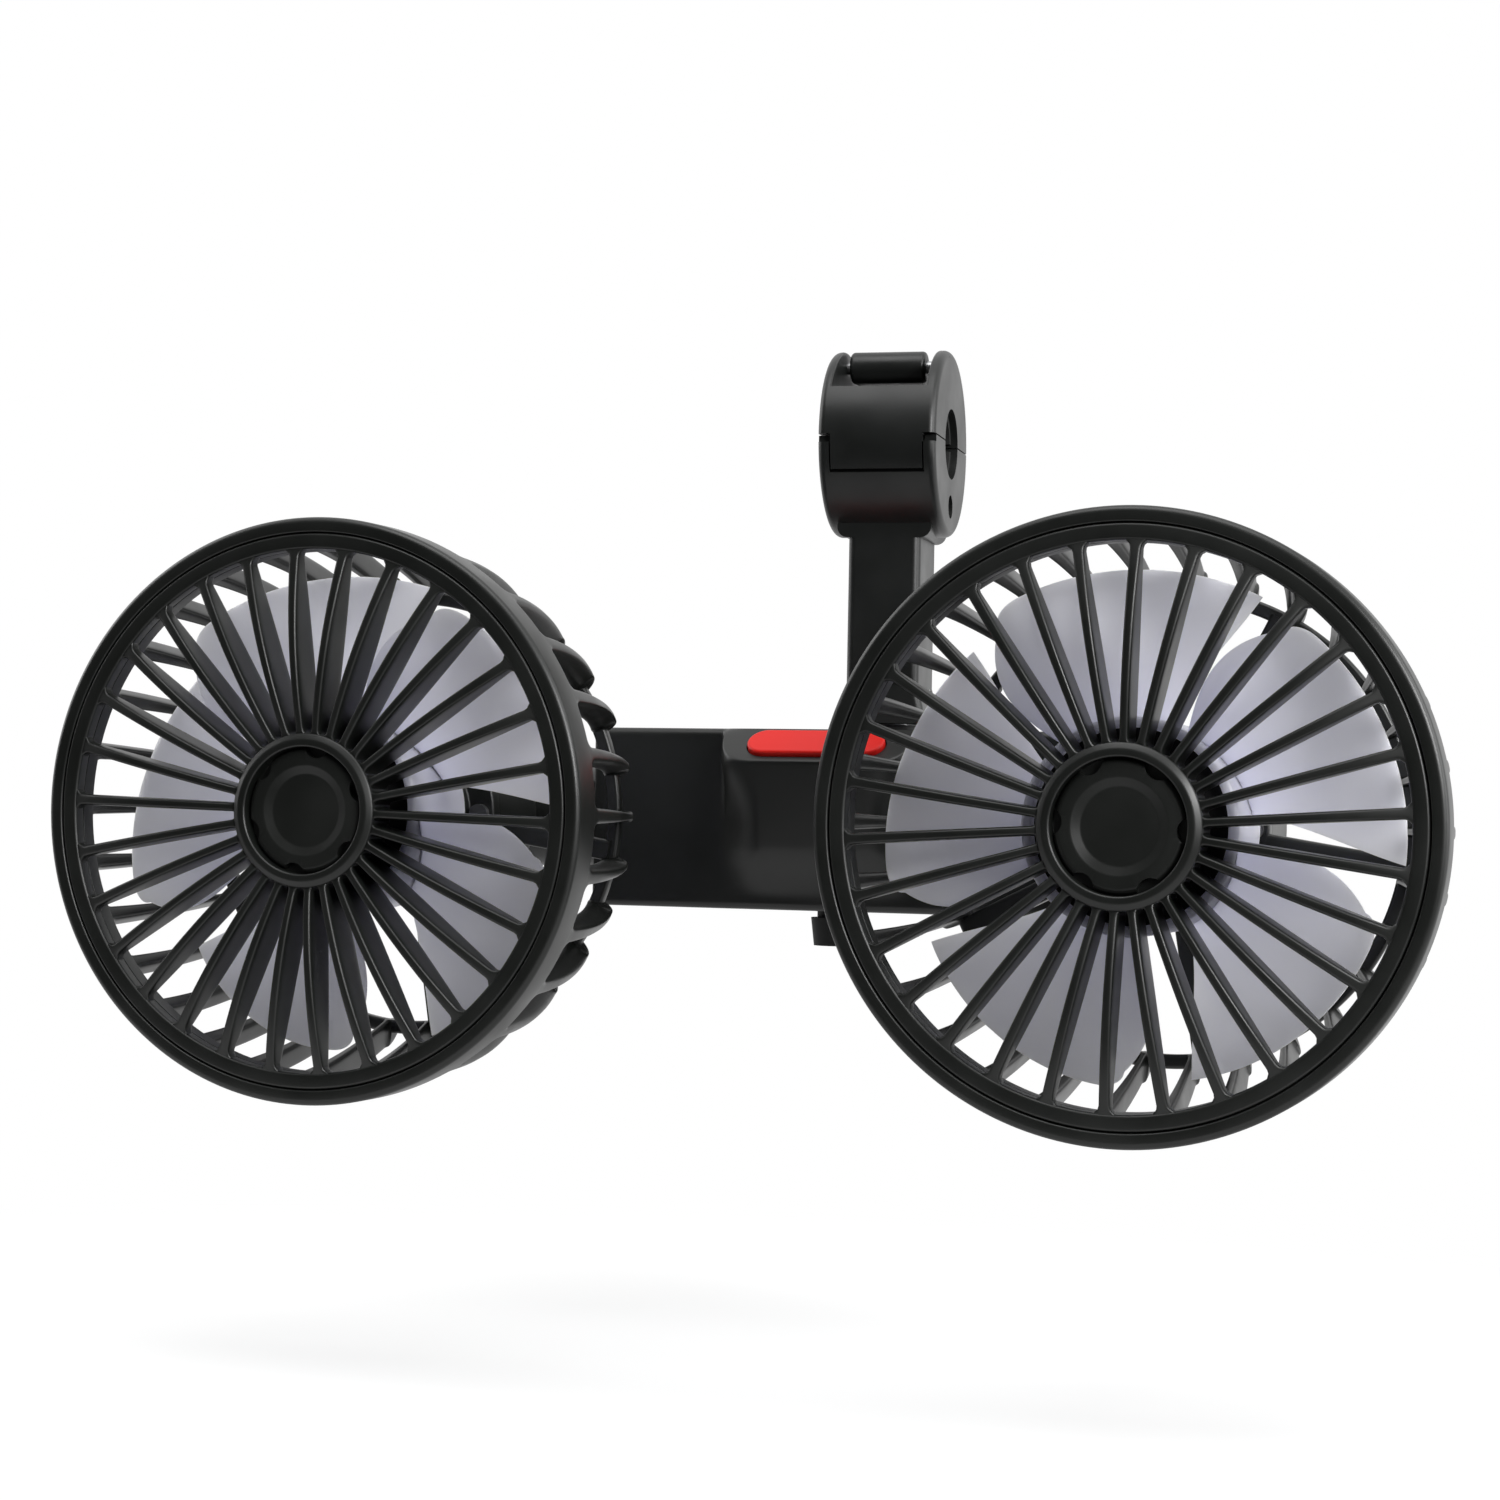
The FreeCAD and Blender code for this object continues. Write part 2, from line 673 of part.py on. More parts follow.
# Motor pod: a cup with a rounded end behind the spider, with bosses for its screws
def motor_pod(side_name, side):
    body = new_body(side_name + "_motor_pod")
    inside = "(pod_radius - pod_wall)"
    shoulder = "(cage_depth + pod_length - pod_shoulder)"
    bulge = "(neck_radius + 0.8 * (pod_radius - neck_radius))"
    bulge_y = "(cage_depth + pod_length - 0.4 * pod_shoulder)"
    inside_end = "(cage_depth + pod_length - 1.2 * pod_shoulder)"
    revolve(body, side_name + "_pod_wall", [
        (inside, "cage_depth"), ("pod_radius", "cage_depth"), ("pod_radius", shoulder, bulge, bulge_y),
        ("neck_radius", POD_END), ("0", POD_END), ("0", inside_end), (inside, inside_end)])
    plan = circle_sketch(body, side_name + "_boss_plan", "XZ_Plane", "screw_circle", "0", "screw_boss",
                         lift="-cage_depth")
    boss = extrude(body, "Pad", side_name + "_boss", plan, "screw_length", reverse=True)
    repeat(body, side_name + "_bosses", boss, "Y_Axis", "screw_count")
    pilot = circle_sketch(body, side_name + "_pilot_plan", "XZ_Plane", "screw_circle", "0", "screw_radius",
                          lift="-cage_depth")
    drilled = extrude(body, "Pocket", side_name + "_pilot", pilot, "screw_length - plate_depth")
    repeat(body, side_name + "_pilots", drilled, "Y_Axis", "screw_count")
    return place_head(body, side)


# One screw of a group is a head and a shank on a common axis; the group is a set of separate solids
def screw_group(label, spots, base, head_way, length):
    screws = []
    for index, (x, z) in enumerate(spots):
        shank = cylinder("%s_shank_%d" % (label, index), "screw_radius", length, "Y", x=x, y=base, z=z)
        under = "%s - screw_head_depth" % base if head_way < 0 else "%s + %s" % (base, length)
        head = cylinder("%s_head_%d" % (label, index), "screw_head", "screw_head_depth", "Y",
                        x=x, y=under, z=z)
        screws.append(fuse("%s_screw_%d" % (label, index), shank, head))
    group = doc.addObject("Part::Compound", label)
    group.Links = screws
    return node(group, label)


def pod_screw_group(side_name, side):
    spots = []
    for index in range(int(SIZES["screw_count"])):
        angle = "360 deg * %d / screw_count" % index
        spots.append(("screw_circle * cos(%s)" % angle, "screw_circle * sin(%s)" % angle))
    group = screw_group(side_name + "_pod_screws", spots, PLATE_FRONT, -1, "screw_length")
    return place_head(group, side)


# Neck: a fat pipe elbow from the pod to the bar, with a flanged trunnion that turns in the bar's end
def neck(side_name, side):
    corner = "head_reach - neck_bend"
    stem = cylinder(side_name + "_neck_stem", "neck_radius", corner + " - " + POD_END, "Y", y=POD_END)
    bend = doc.addObject("Part::Torus", side_name + "_neck_bend")
    bend.Placement = FreeCAD.Placement(FreeCAD.Vector(), FreeCAD.Rotation(FreeCAD.Vector(0, 0, 1), 90))
    bend.Angle3 = 90
    bind(bend, Radius1="neck_bend", Radius2="neck_radius")
    bind(bend, Placement__Base__x="neck_bend", Placement__Base__y=corner)
    reach = cylinder(side_name + "_neck_reach", "neck_radius", NECK_END + " - neck_bend", "X",
                     x="neck_bend", y="head_reach")
    length = TRUNNION_IN + " + flange_depth - neck_bend"
    trunnion = cylinder(side_name + "_trunnion", "trunnion_radius", length, "X",
                        x="neck_bend", y="head_reach")
    flange = cylinder(side_name + "_flange", "flange_radius", "flange_depth", "X",
                      x=TRUNNION_IN, y="head_reach")
    elbow = fuse(side_name + "_neck", stem, bend, reach, trunnion, flange)
    return place_head(node(elbow, side_name + "_neck"), side, toward_bar=True)


def friction_ring(side_name, side):
    place = BAR_END + " - friction_depth"
    ring = cylinder(side_name + "_ring_blank", "friction_radius", "friction_depth", "X",
                    x=place, y="head_reach")
    bore = cylinder(side_name + "_ring_bore", TILT_BORE, "friction_depth", "X", x=place, y="head_reach")
    ring = cut(side_name + "_friction_ring", ring, bore)
    return place_head(node(ring, side_name + "_friction_ring"), side, toward_bar=True)


# Body bar: two shells that meet on the plane of the tilt and swivel axes
def shell_features(body, tag, front):
    way = "-" if front else ""
    half = "(bar_length / 2)"
    inside_half = "(bar_length / 2 - bar_end_wall)"
    inside_top = "(bar_height / 2 - bar_wall)"
    if front:
        bulge(body, tag)
    face = "%s(bar_depth / 2)" % way
    bend = "%s(bar_depth / 2 - bar_round)" % way
    crown = "%s(bar_depth / 2 - %s * bar_round)" % (way, BEND)
    corner = "(bar_height / 2 - bar_round)"
    soft = "(bar_height / 2 - %s * bar_round)" % BEND
    section = outline(body, tag + "_section", "YZ_Plane", [
        ("0", "-" + BAR_TOP), (bend, "-" + BAR_TOP, crown, "-" + soft), (face, "-" + corner),
        (face, corner, crown, soft), (bend, BAR_TOP), ("0", BAR_TOP)])
    extrude(body, "Pad", tag + "_block", section, "bar_length", symmetric=True)
    off_seam = size("bar_end_round")
    soften(body, tag + "_end_rounding", "bar_end_round",
           lambda edge: near(abs(edge.CenterOfMass.x), half) and abs(edge.CenterOfMass.y) > off_seam)
    hollow = outline(body, tag + "_hollow_plan", "XZ_Plane",
                     rectangle("-" + inside_half, "-" + inside_top, inside_half, inside_top))
    extrude(body, "Pocket", tag + "_hollow", hollow, BAR_FRONT + " - bar_wall", reverse=front)
    if front:
        bulge_hollow(body, tag)
    for index, (x, z) in enumerate(BODY_SCREWS):
        boss = circle_sketch(body, "%s_boss_plan_%d" % (tag, index), "XZ_Plane", x, z, "body_boss")
        extrude(body, "Pad", "%s_boss_%d" % (tag, index), boss, BAR_FRONT + " - bar_wall / 2",
                reverse=not front)
    for index, (x, z) in enumerate(BODY_SCREWS):
        pilot = circle_sketch(body, "%s_pilot_plan_%d" % (tag, index), "XZ_Plane", x, z, "screw_radius")
        if front:
            extrude(body, "Pocket", "%s_pilot_%d" % (tag, index), pilot, "screw_length / 2", reverse=True)
        else:
            extrude(body, "Pocket", "%s_pilot_%d" % (tag, index), pilot)
            sink = circle_sketch(body, "%s_sink_plan_%d" % (tag, index), "XZ_Plane", x, z,
                                 "screw_head + moving_gap", lift="-" + BAR_FRONT)
            extrude(body, "Pocket", "%s_sink_%d" % (tag, index), sink, "screw_head_depth", reverse=True)
    trunnion = circle_sketch(body, tag + "_trunnion_plan", "YZ_Plane", "0", "0", TILT_BORE)
    extrude(body, "Pocket", tag + "_trunnion_bores", trunnion, symmetric=True)
    stud = circle_sketch(body, tag + "_stud_plan", "XY_Plane", "arm_offset", "0", "stud_radius")
    extrude(body, "Pocket", tag + "_stud_hole", stud, reverse=True)
    gland = circle_sketch(body, tag + "_gland_plan", "XY_Plane", "0", "0", "gland_neck")
    extrude(body, "Pocket", tag + "_gland_hole", gland)


BODY_SCREWS = [("body_screw_x", "body_screw_z"), ("-body_screw_x", "body_screw_z"),
               ("-body_screw_x", "-body_screw_z"), ("body_screw_x", "-body_screw_z")]


# Switch bulge: a rounded nose on the bar with concave roots, a sloped top for the button and a soft chin
def bulge(body, tag):
    face = "-" + BAR_FRONT
    nose = "-" + BULGE_FRONT
    side = "(bulge_length / 2)"
    root = "(bulge_length / 2 + bulge_fillet)"
    corner = "(bulge_length / 2 - bulge_corner)"
    fillet_x = "(bulge_length / 2 + %s * bulge_fillet)" % BEND
    fillet_y = "(-bar_depth / 2 - %s * bulge_fillet)" % BEND
    cheek_y = "(-bar_depth / 2 - bulge_fillet)"
    round_x = "(bulge_length / 2 - %s * bulge_corner)" % BEND
    round_y = "(-bar_depth / 2 - bulge_front + %s * bulge_corner)" % BEND
    back = "(-bar_depth / 2 + bar_wall)"
    plan = outline(body, tag + "_bulge_plan", "XY_Plane", [
        ("-" + root, back), ("-" + root, face, "-" + fillet_x, fillet_y),
        ("-" + side, cheek_y, "-" + round_x, round_y), ("-" + corner, nose),
        (corner, nose, round_x, round_y), (side, cheek_y, fillet_x, fillet_y), (root, face), (root, back)])
    extrude(body, "Pad", tag + "_bulge", plan, "bar_height - bar_round / 2", symmetric=True)
    beyond = "(-bar_depth / 2 - 1.2 * bulge_front)"
    slope_end = "(bar_height / 2 - 1.2 * slope_drop)"
    above = "(bar_height / 2 + bar_wall)"
    slope = outline(body, tag + "_slope_plan", "YZ_Plane", [
        (face, BAR_TOP), (beyond, slope_end), (beyond, above), (face, above)])
    extrude(body, "Pocket", tag + "_slope", slope, "bar_length", symmetric=True)
    floor = "(-bar_height / 2 + chin_height)"
    chin = "(-bar_height / 2 + chin_height + chin_round)"
    chin_y = "(-bar_depth / 2 - bulge_front + %s * chin_round)" % BEND
    chin_z = "(-bar_height / 2 + chin_height + %s * chin_round)" % BEND
    under_y = "(-bar_depth / 2 - bulge_front + chin_round)"
    inside = "(-bar_depth / 2 + bar_wall / 2)"
    below = "(-bar_height / 2 - bar_wall)"
    under = outline(body, tag + "_chin_plan", "YZ_Plane", [
        (nose, chin, chin_y, chin_z), (under_y, floor), (inside, floor), (inside, below), (beyond, below),
        (beyond, chin)])
    extrude(body, "Pocket", tag + "_chin", under, "bar_length", symmetric=True)


# The space behind the sloped wall, as wide as the circuit board
def bulge_hollow(body, tag):
    back = "(-bar_depth / 2 + bar_wall)"
    chin = "(-bar_height / 2 + chin_height + chin_round)"
    chin_z = "(-bar_height / 2 + chin_height + bar_wall)"
    hollow_front = "(-bar_depth / 2 - bulge_front + bar_wall)"
    slope_wall = "(bar_wall / cos(%s))" % SLOPE_ANGLE
    slope_low = "(bar_height / 2 - slope_drop * (bulge_front - bar_wall) / bulge_front - %s)" % slope_wall
    slope_high = "(bar_height / 2 - %s + slope_drop * bar_wall / bulge_front)" % slope_wall
    hollow = outline(body, tag + "_bulge_hollow_plan", "YZ_Plane", [
        (back, slope_high), (hollow_front, slope_low), (hollow_front, chin), (back, chin_z)])
    extrude(body, "Pocket", tag + "_bulge_hollow", hollow, "board_length", symmetric=True)


# A stadium on the slope of the bulge: x along the bar, y up the slope
def stadium(length, width):
    end = "(%s / 2)" % length
    flat = "(%s / 2 - %s / 2)" % (length, width)
    half = "(%s / 2)" % width
    return [("-" + flat, "-" + half), (flat, "-" + half, end, "0"), (flat, half),
            ("-" + flat, half, "-" + end, "0")]


# A sketch plane that lies a given height above the middle of the slope
def slope_sketch(body, name, corners, height):
    sketch = outline(body, name, "XY_Plane", corners)
    tilted = FreeCAD.Rotation(FreeCAD.Vector(1, 0, 0), size(SLOPE_ANGLE))
    sketch.AttachmentOffset = FreeCAD.Placement(FreeCAD.Vector(), tilted)
    depth = "-bar_depth / 2 - bulge_front / 2 - (%s) * sin(%s)" % (height, SLOPE_ANGLE)
    level = "bar_height / 2 - slope_drop / 2 + (%s) * cos(%s)" % (height, SLOPE_ANGLE)
    bind(sketch, AttachmentOffset__Rotation__Angle=SLOPE_ANGLE)
    return bind(sketch, AttachmentOffset__Base__y=depth, AttachmentOffset__Base__z=level)


def front_shell():
    body = new_body("front_shell")
    shell_features(body, "front", True)
    outer = stadium("(button_length + 2 * moving_gap)", "(button_width + 2 * moving_gap)")
    hole = slope_sketch(body, "front_button_plan", outer, "bar_wall")
    extrude(body, "Pocket", "front_button_hole", hole, "3 * bar_wall")
    return place_bar(body)


def rear_shell():
    body = new_body("rear_shell")
    shell_features(body, "rear", False)
    return place_bar(body)


def body_screws():
    length = "bar_depth / 2 - screw_head_depth + screw_length / 2"
    return place_bar(screw_group("body_screws", BODY_SCREWS, "-screw_length / 2", 1, length))


# Power button: a stadium cap with a lip behind the sloped wall
def power_button():
    body = new_body("power_button")
    behind = "-bar_wall - moving_gap"
    flange = stadium("(button_length + 2 * button_lip)", "(button_width + 2 * button_lip)")
    lip = slope_sketch(body, "button_lip_plan", flange, behind)
    extrude(body, "Pad", "button_lip_pad", lip, "button_lip", reverse=True)
    cap = slope_sketch(body, "button_cap_plan", stadium("button_length", "button_width"), behind)
    extrude(body, "Pad", "button_cap_pad", cap, "bar_wall + moving_gap + button_proud")
    doc.recompute()
    top = max(body.Tip.Shape.Faces, key=lambda face: face.CenterOfMass.z)
    soften(body, "button_rounding", "button_round", lambda edge: any(edge.isSame(rim) for rim in top.Edges))
    return place_bar(body)


def circuit_board():
    body = new_body("circuit_board")
    half = "(board_length / 2)"
    wide = "(board_width / 2)"
    plan = slope_sketch(body, "board_plan", rectangle("-" + half, "-" + wide, half, wide), "-board_drop")
    extrude(body, "Pad", "board_plate", plan, "board_depth", reverse=True)
    return place_bar(body)


def button_switch():
    body = new_body("button_switch")
    half = "(switch_size / 2)"
    plan = slope_sketch(body, "switch_plan", rectangle("-" + half, "-" + half, half, half), "-board_drop")
    extrude(body, "Pad", "switch_case", plan, "switch_height")
    key = stadium("(3 * plunger_radius)", "(2 * plunger_radius)")
    tip = slope_sketch(body, "plunger_plan", key, "-board_drop")
    reach = "board_drop - bar_wall - 2 * moving_gap - button_lip - button_travel"
    extrude(body, "Pad", "plunger", tip, reach)
    return place_bar(body)


# Cable gland: a rubber sleeve held by its neck between the shells
def cable_gland():
    body = new_body("cable_gland")
    inside = "(bar_wall - bar_height / 2)"
    low = "(-bar_height / 2)"
    feature = body.newObject("PartDesign::Revolution", "gland_turned")
    profile = outline(body, "gland_profile", "XZ_Plane", [
        ("gland_bore", inside + " + gland_step"), ("gland_collar", inside + " + gland_step"),
        ("gland_collar", inside), ("gland_neck", inside), ("gland_neck", low + " - gland_step"),
        ("gland_collar", low + " - gland_step"), ("gland_tip", low + " - gland_drop"),
        ("gland_bore", low + " - gland_drop")])
    feature.Profile = profile
    feature.ReferenceAxis = (profile, ["V_Axis"])
    feature.Angle = 360
    return place_bar(body)


# Swivel: a grooved stud held by its flange under the top wall, and a washer under the arm
def swivel_stud():
    body = new_body("swivel_stud")
    wall = "(bar_height / 2 - bar_wall)"
    groove = "(bar_height / 2 + groove_height)"
    low = groove + " - pin_radius - moving_gap"
    high = groove + " + pin_radius + moving_gap"
    base = wall + " - stud_flange_depth"
    top = "(bar_height / 2 + stud_height)"
    feature = body.newObject("PartDesign::Revolution", "stud_turned")
    profile = outline(body, "stud_profile", "XZ_Plane", [
        ("0", base), ("stud_flange", base), ("stud_flange", wall), ("stud_radius", wall),
        ("stud_radius", low),
        ("groove_radius", low), ("groove_radius", high), ("stud_radius", high), ("stud_radius", top),
        ("0", top)])
    feature.Profile = profile
    feature.ReferenceAxis = (profile, ["V_Axis"])
    feature.Angle = 360
    return bind(body, Placement__Base__z="-clamp_height")


def swivel_washer():
    level = "bar_height / 2 - clamp_height"
    ring = cylinder("washer_blank", "washer_radius", "washer_depth", "Z", z=level)
    bore = cylinder("washer_bore", "stud_radius", "washer_depth", "Z", z=level)
    return node(cut("swivel_washer", ring, bore), "swivel_washer")


# Clamp arm: the arm and the lower half of the clamp drum, one moulding
def half_disc(sign):
    flat = "%s moving_gap / 2" % sign
    reach = "sqrt(drum_radius ^ 2 - moving_gap ^ 2 / 4)"
    return [("-" + reach, flat, "0", "%s drum_radius" % sign), (reach, flat)]


def knuckle(sign):
    back = "(hinge_offset + knuckle_radius)"
    front = "(hinge_offset - knuckle_radius)"
    flat = "%s moving_gap / 2" % sign
    return [("knuckle_root", "%s knuckle_web" % sign),
            (back, "0", "hinge_offset", "%s knuckle_radius" % other(sign)),
            (front, "0"), (front, flat), ("knuckle_root", flat)]


# The outer edges of the drum's two ends
def drum_rim(edge):
    on_end = near(abs(edge.CenterOfMass.x), "drum_length / 2")
    return on_end and edge.Curve.TypeId == "Part::GeomCircle" and near(edge.Curve.Radius, "drum_radius")


# The upper edges of the recess that the lever lies in
def cheek_rim(edge):
    off = abs(edge.CenterOfMass.x - size("recess_shift"))
    on_wall = near(off, "lever_recess / 2")
    return on_wall and edge.Curve.TypeId == "Part::GeomCircle" and near(edge.Curve.Radius, "drum_radius")


def other(sign):
    return "0 -" if sign == "0 +" else "0 +"


BELOW = "0 -"
ABOVE = "0 +"


def clamp_arm():
    body = new_body("clamp_arm")
    drum = outline(body, "drum_plan", "YZ_Plane", half_disc(BELOW))
    extrude(body, "Pad", "lower_drum", drum, "drum_length", symmetric=True)
    soften(body, "lower_rounding", "drum_round", drum_rim)
    half = "(arm_width / 2)"
    top = "(0 - drum_radius + knuckle_radius)"
    arm_section = rounded_rectangle("arm_width", "arm_depth", "arm_corner")
    shank = outline(body, "arm_plan", "XY_Plane", arm_section, lift=ARM_FOOT)
    extrude(body, "Pad", "arm_shank", shank, top + " - " + ARM_FOOT)
    flare_low = "(0 - drum_radius - flare_height + knuckle_radius)"
    flare_mid = "(0 - drum_radius - flare_height * 0.2)"
    flare_x = "(arm_width / 2 + 0.25 * (arm_flare - arm_width / 2))"
    flare = outline(body, "flare_plan", "XZ_Plane", [
        ("-" + half, flare_low, "-" + flare_x, flare_mid), ("-arm_flare", top),
        ("arm_flare", top, flare_x, flare_mid), (half, flare_low)])
    extrude(body, "Pad", "arm_flare_pad", flare, "arm_depth", symmetric=True)
    foot_section = rounded_rectangle("foot_width", "foot_depth", "arm_corner")
    foot_low = outline(body, "foot_low", "XY_Plane", foot_section, lift=ARM_FOOT)
    foot_high = outline(body, "foot_high", "XY_Plane", arm_section, lift=ARM_FOOT + " + foot_height")
    loft = body.newObject("PartDesign::AdditiveLoft", "arm_foot")
    loft.Profile = foot_low
    loft.Sections = [foot_high]
    ears = outline(body, "ear_plan", "YZ_Plane", knuckle(BELOW))
    extrude(body, "Pad", "hinge_ears", ears, "hinge_width", symmetric=True)
    gap_reach = "(hinge_offset + 2 * knuckle_radius)"
    gap_start = "sqrt(drum_radius ^ 2 - knuckle_web ^ 2)"
    slot = outline(body, "ear_gap_plan", "YZ_Plane", [
        ("drum_radius", "2 * knuckle_radius"), ("drum_radius", "0 - moving_gap / 2"),
        (gap_start, "0 - knuckle_web"), (gap_reach, "0 - knuckle_web"), (gap_reach, "2 * knuckle_radius")])
    extrude(body, "Pocket", "ear_gap", slot, "knuckle_length + 2 * moving_gap", symmetric=True)
    pin = circle_sketch(body, "ear_hole_plan", "YZ_Plane", "hinge_offset", "0", "hinge_pin")
    extrude(body, "Pocket", "ear_holes", pin, symmetric=True)
    bore = circle_sketch(body, "lower_bore_plan", "YZ_Plane", "0", "0", "pad_seat")
    extrude(body, "Pocket", "lower_bore", bore, symmetric=True)
    seat = outline(body, "tongue_seat_plan", "YZ_Plane", rectangle(
        "-2 * drum_radius", "-tongue_drop - tongue_gap", "tongue_depth + moving_gap - drum_radius", "0"))
    extrude(body, "Pocket", "tongue_seat", seat, "tongue_width + 2 * moving_gap", symmetric=True)
    shoulder = outline(body, "shoulder_plan", "YZ_Plane", rectangle(
        "-2 * drum_radius", "-shoulder_gap", "shoulder_depth - drum_radius", "0"))
    extrude(body, "Pocket", "shoulders", shoulder, "drum_length", symmetric=True)
    hole = circle_sketch(body, "side_hole_plan", "YZ_Plane", "0", "-side_hole_drop", "side_hole")
    extrude(body, "Pocket", "side_hole_cut", hole, symmetric=True)
    socket = circle_sketch(body, "socket_plan", "XY_Plane", "0", "0", TURN_BORE, lift=ARM_FOOT)
    extrude(body, "Pocket", "stud_socket", socket, "stud_height", reverse=True)
    cross = circle_sketch(body, "cross_plan", "YZ_Plane", "groove_radius + moving_gap + pin_radius",
                          "bar_height / 2 + groove_height - clamp_height", "pin_radius")
    extrude(body, "Pocket", "cross_hole", cross, symmetric=True)
    return place_clamp(body)


# Clamp cap: the upper half of the drum, with a catch tongue in front and cheeks for the lever
def clamp_cap():
    body = new_body("clamp_cap")
    drum = outline(body, "cap_drum_plan", "YZ_Plane", half_disc(ABOVE))
    extrude(body, "Pad", "upper_drum", drum, "drum_length", symmetric=True)
    soften(body, "upper_rounding", "drum_round", drum_rim)
    inner = "(tongue_depth - drum_radius)"
    low = "(0 - tongue_drop)"
    reach = "(0 - sqrt(drum_radius ^ 2 - tongue_drop ^ 2))"
    side = "(0 - sqrt(drum_radius ^ 2 - tongue_drop ^ 2 / 4))"
    top = "(tongue_depth)"
    top_reach = "(0 - sqrt(drum_radius ^ 2 - tongue_depth ^ 2))"
    tongue = outline(body, "tongue_plan", "YZ_Plane", [
        (top_reach, top, side, "0 - tongue_drop / 2"), (reach, low), (inner, low), (inner, top)])
    extrude(body, "Pad", "tongue", tongue, "tongue_width", symmetric=True)
    hub = outline(body, "cap_knuckle_plan", "YZ_Plane", knuckle(ABOVE))
    extrude(body, "Pad", "cap_knuckle", hub, "knuckle_length", symmetric=True)
    pin = circle_sketch(body, "cap_hinge_plan", "YZ_Plane", "hinge_offset", "0", "hinge_pin + running_fit")
    extrude(body, "Pocket", "cap_hinge_hole", pin, symmetric=True)
    bore = circle_sketch(body, "upper_bore_plan", "YZ_Plane", "0", "0", "pad_seat")
    extrude(body, "Pocket", "upper_bore", bore, symmetric=True)
    recess = outline(body, "recess_plan", "YZ_Plane", rectangle(
        "-drum_radius", "lever_floor", "drum_radius", "2 * drum_radius"), lift="recess_shift")
    extrude(body, "Pocket", "lever_recess_cut", recess, "lever_recess", symmetric=True)
    soften(body, "cheek_rounding", "cheek_round", cheek_rim)
    hole = circle_sketch(body, "lever_hole_plan", "YZ_Plane", "0", "lever_height", "lever_pin_radius",
                         lift="recess_shift")
    extrude(body, "Pocket", "lever_holes", hole, LEVER_PIN, symmetric=True)
    return place_clamp(body)


# Rubber pads that line the bore
def clamp_pad(label, sign):
    body = new_body(label)
    gap = "%s pad_gap" % sign
    out = "sqrt(pad_seat ^ 2 - pad_gap ^ 2)"
    inner = "sqrt(post_radius ^ 2 - pad_gap ^ 2)"
    plan = outline(body, label + "_plan", "YZ_Plane", [
        ("-" + out, gap, "0", "%s pad_seat" % sign), (out, gap), (inner, gap, "0", "%s post_radius" % sign),
        ("-" + inner, gap)])
    extrude(body, "Pad", label + "_pad", plan, "drum_length - 2 * pad_inset", symmetric=True)
    return place_clamp(body)


# Clamp lever: a barrel between the cap's cheeks, with a flat tail that lies flush with the drum
def clamp_lever():
    body = new_body("clamp_lever")
    barrel = circle_sketch(body, "barrel_plan", "YZ_Plane", "0", "lever_height", "lever_radius",
                           lift="lever_shift")
    extrude(body, "Pad", "barrel", barrel, "lever_length", symmetric=True)
    soften(body, "barrel_rounding", "lever_round", lambda edge: edge.Curve.TypeId == "Part::GeomCircle")
    low = "(lever_height - lever_radius)"
    high = "(lever_height - lever_radius + lever_tail_depth)"
    tip_low = "sqrt(drum_radius ^ 2 - (lever_height - lever_radius) ^ 2)"
    tip_high = "sqrt(drum_radius ^ 2 - (lever_height - lever_radius + lever_tail_depth) ^ 2)"
    tip_mid = "sqrt(drum_radius ^ 2 - (lever_height - lever_radius + lever_tail_depth / 2) ^ 2)"
    middle = "(lever_height - lever_radius + lever_tail_depth / 2)"
    tail = outline(body, "tail_plan", "YZ_Plane", [
        ("0", low), (tip_low, low, tip_mid, middle), (tip_high, high), ("0", high)], lift="lever_shift")
    extrude(body, "Pad", "tail", tail, "lever_length - 2 * lever_round", symmetric=True)
    hole = circle_sketch(body, "barrel_hole_plan", "YZ_Plane",
                         "0", "lever_height", "lever_pin_radius + running_fit")
    extrude(body, "Pocket", "barrel_hole", hole, symmetric=True)
    return place_clamp(body)


# A pin along the clamp's bore axis, placed in the turned frame of the clamp
def clamp_pin(label, radius, length, depth, height, shift="0"):
    pin = cylinder(label, radius, length, "X")
    along = "((%s) / 2 - (%s))" % (length, shift)
    turned = FreeCAD.Rotation(FreeCAD.Vector(0, 0, 1), size("arm_turn")).multiply(TURNS["X"])
    pin.Placement = FreeCAD.Placement(FreeCAD.Vector(), turned)
    cosine = "cos(arm_turn * 1 deg)"
    sine = "sin(arm_turn * 1 deg)"
    bind(pin, Placement__Base__x="-%s * %s - (%s) * %s" % (along, cosine, depth, sine))
    bind(pin, Placement__Base__y="-%s * %s + (%s) * %s" % (along, sine, depth, cosine))
    bind(pin, Placement__Base__z=height)
    return node(pin, label)


shared_rotor = rotor_shape()
shared_core = core_shape()
for side_name, side in (("left", -1), ("right", 1)):
    front_grille(side_name, side)
    hub_cap(side_name, side)
    rear_cage(side_name, side)
    rotor(side_name, side, shared_rotor, shared_core)
    motor(side_name, side)
    motor_pod(side_name, side)
    pod_screw_group(side_name, side)
    neck(side_name, side)
    friction_ring(side_name, side)
front_shell()
rear_shell()
body_screws()
power_button()
circuit_board()
button_switch()
cable_gland()
swivel_stud()
swivel_washer()
clamp_arm()
clamp_pad("lower_pad", BELOW)
clamp_cap()
clamp_pad("upper_pad", ABOVE)
clamp_lever()
clamp_pin("swivel_pin", "pin_radius", "arm_width", "groove_radius + moving_gap + pin_radius",
          "bar_height / 2 + groove_height - clamp_height")
clamp_pin("cap_hinge_pin", "hinge_pin", "hinge_width", "hinge_offset", "0")
clamp_pin("lever_pin", "lever_pin_radius", LEVER_PIN, "0", "lever_height", "recess_shift")
doc.recompute()

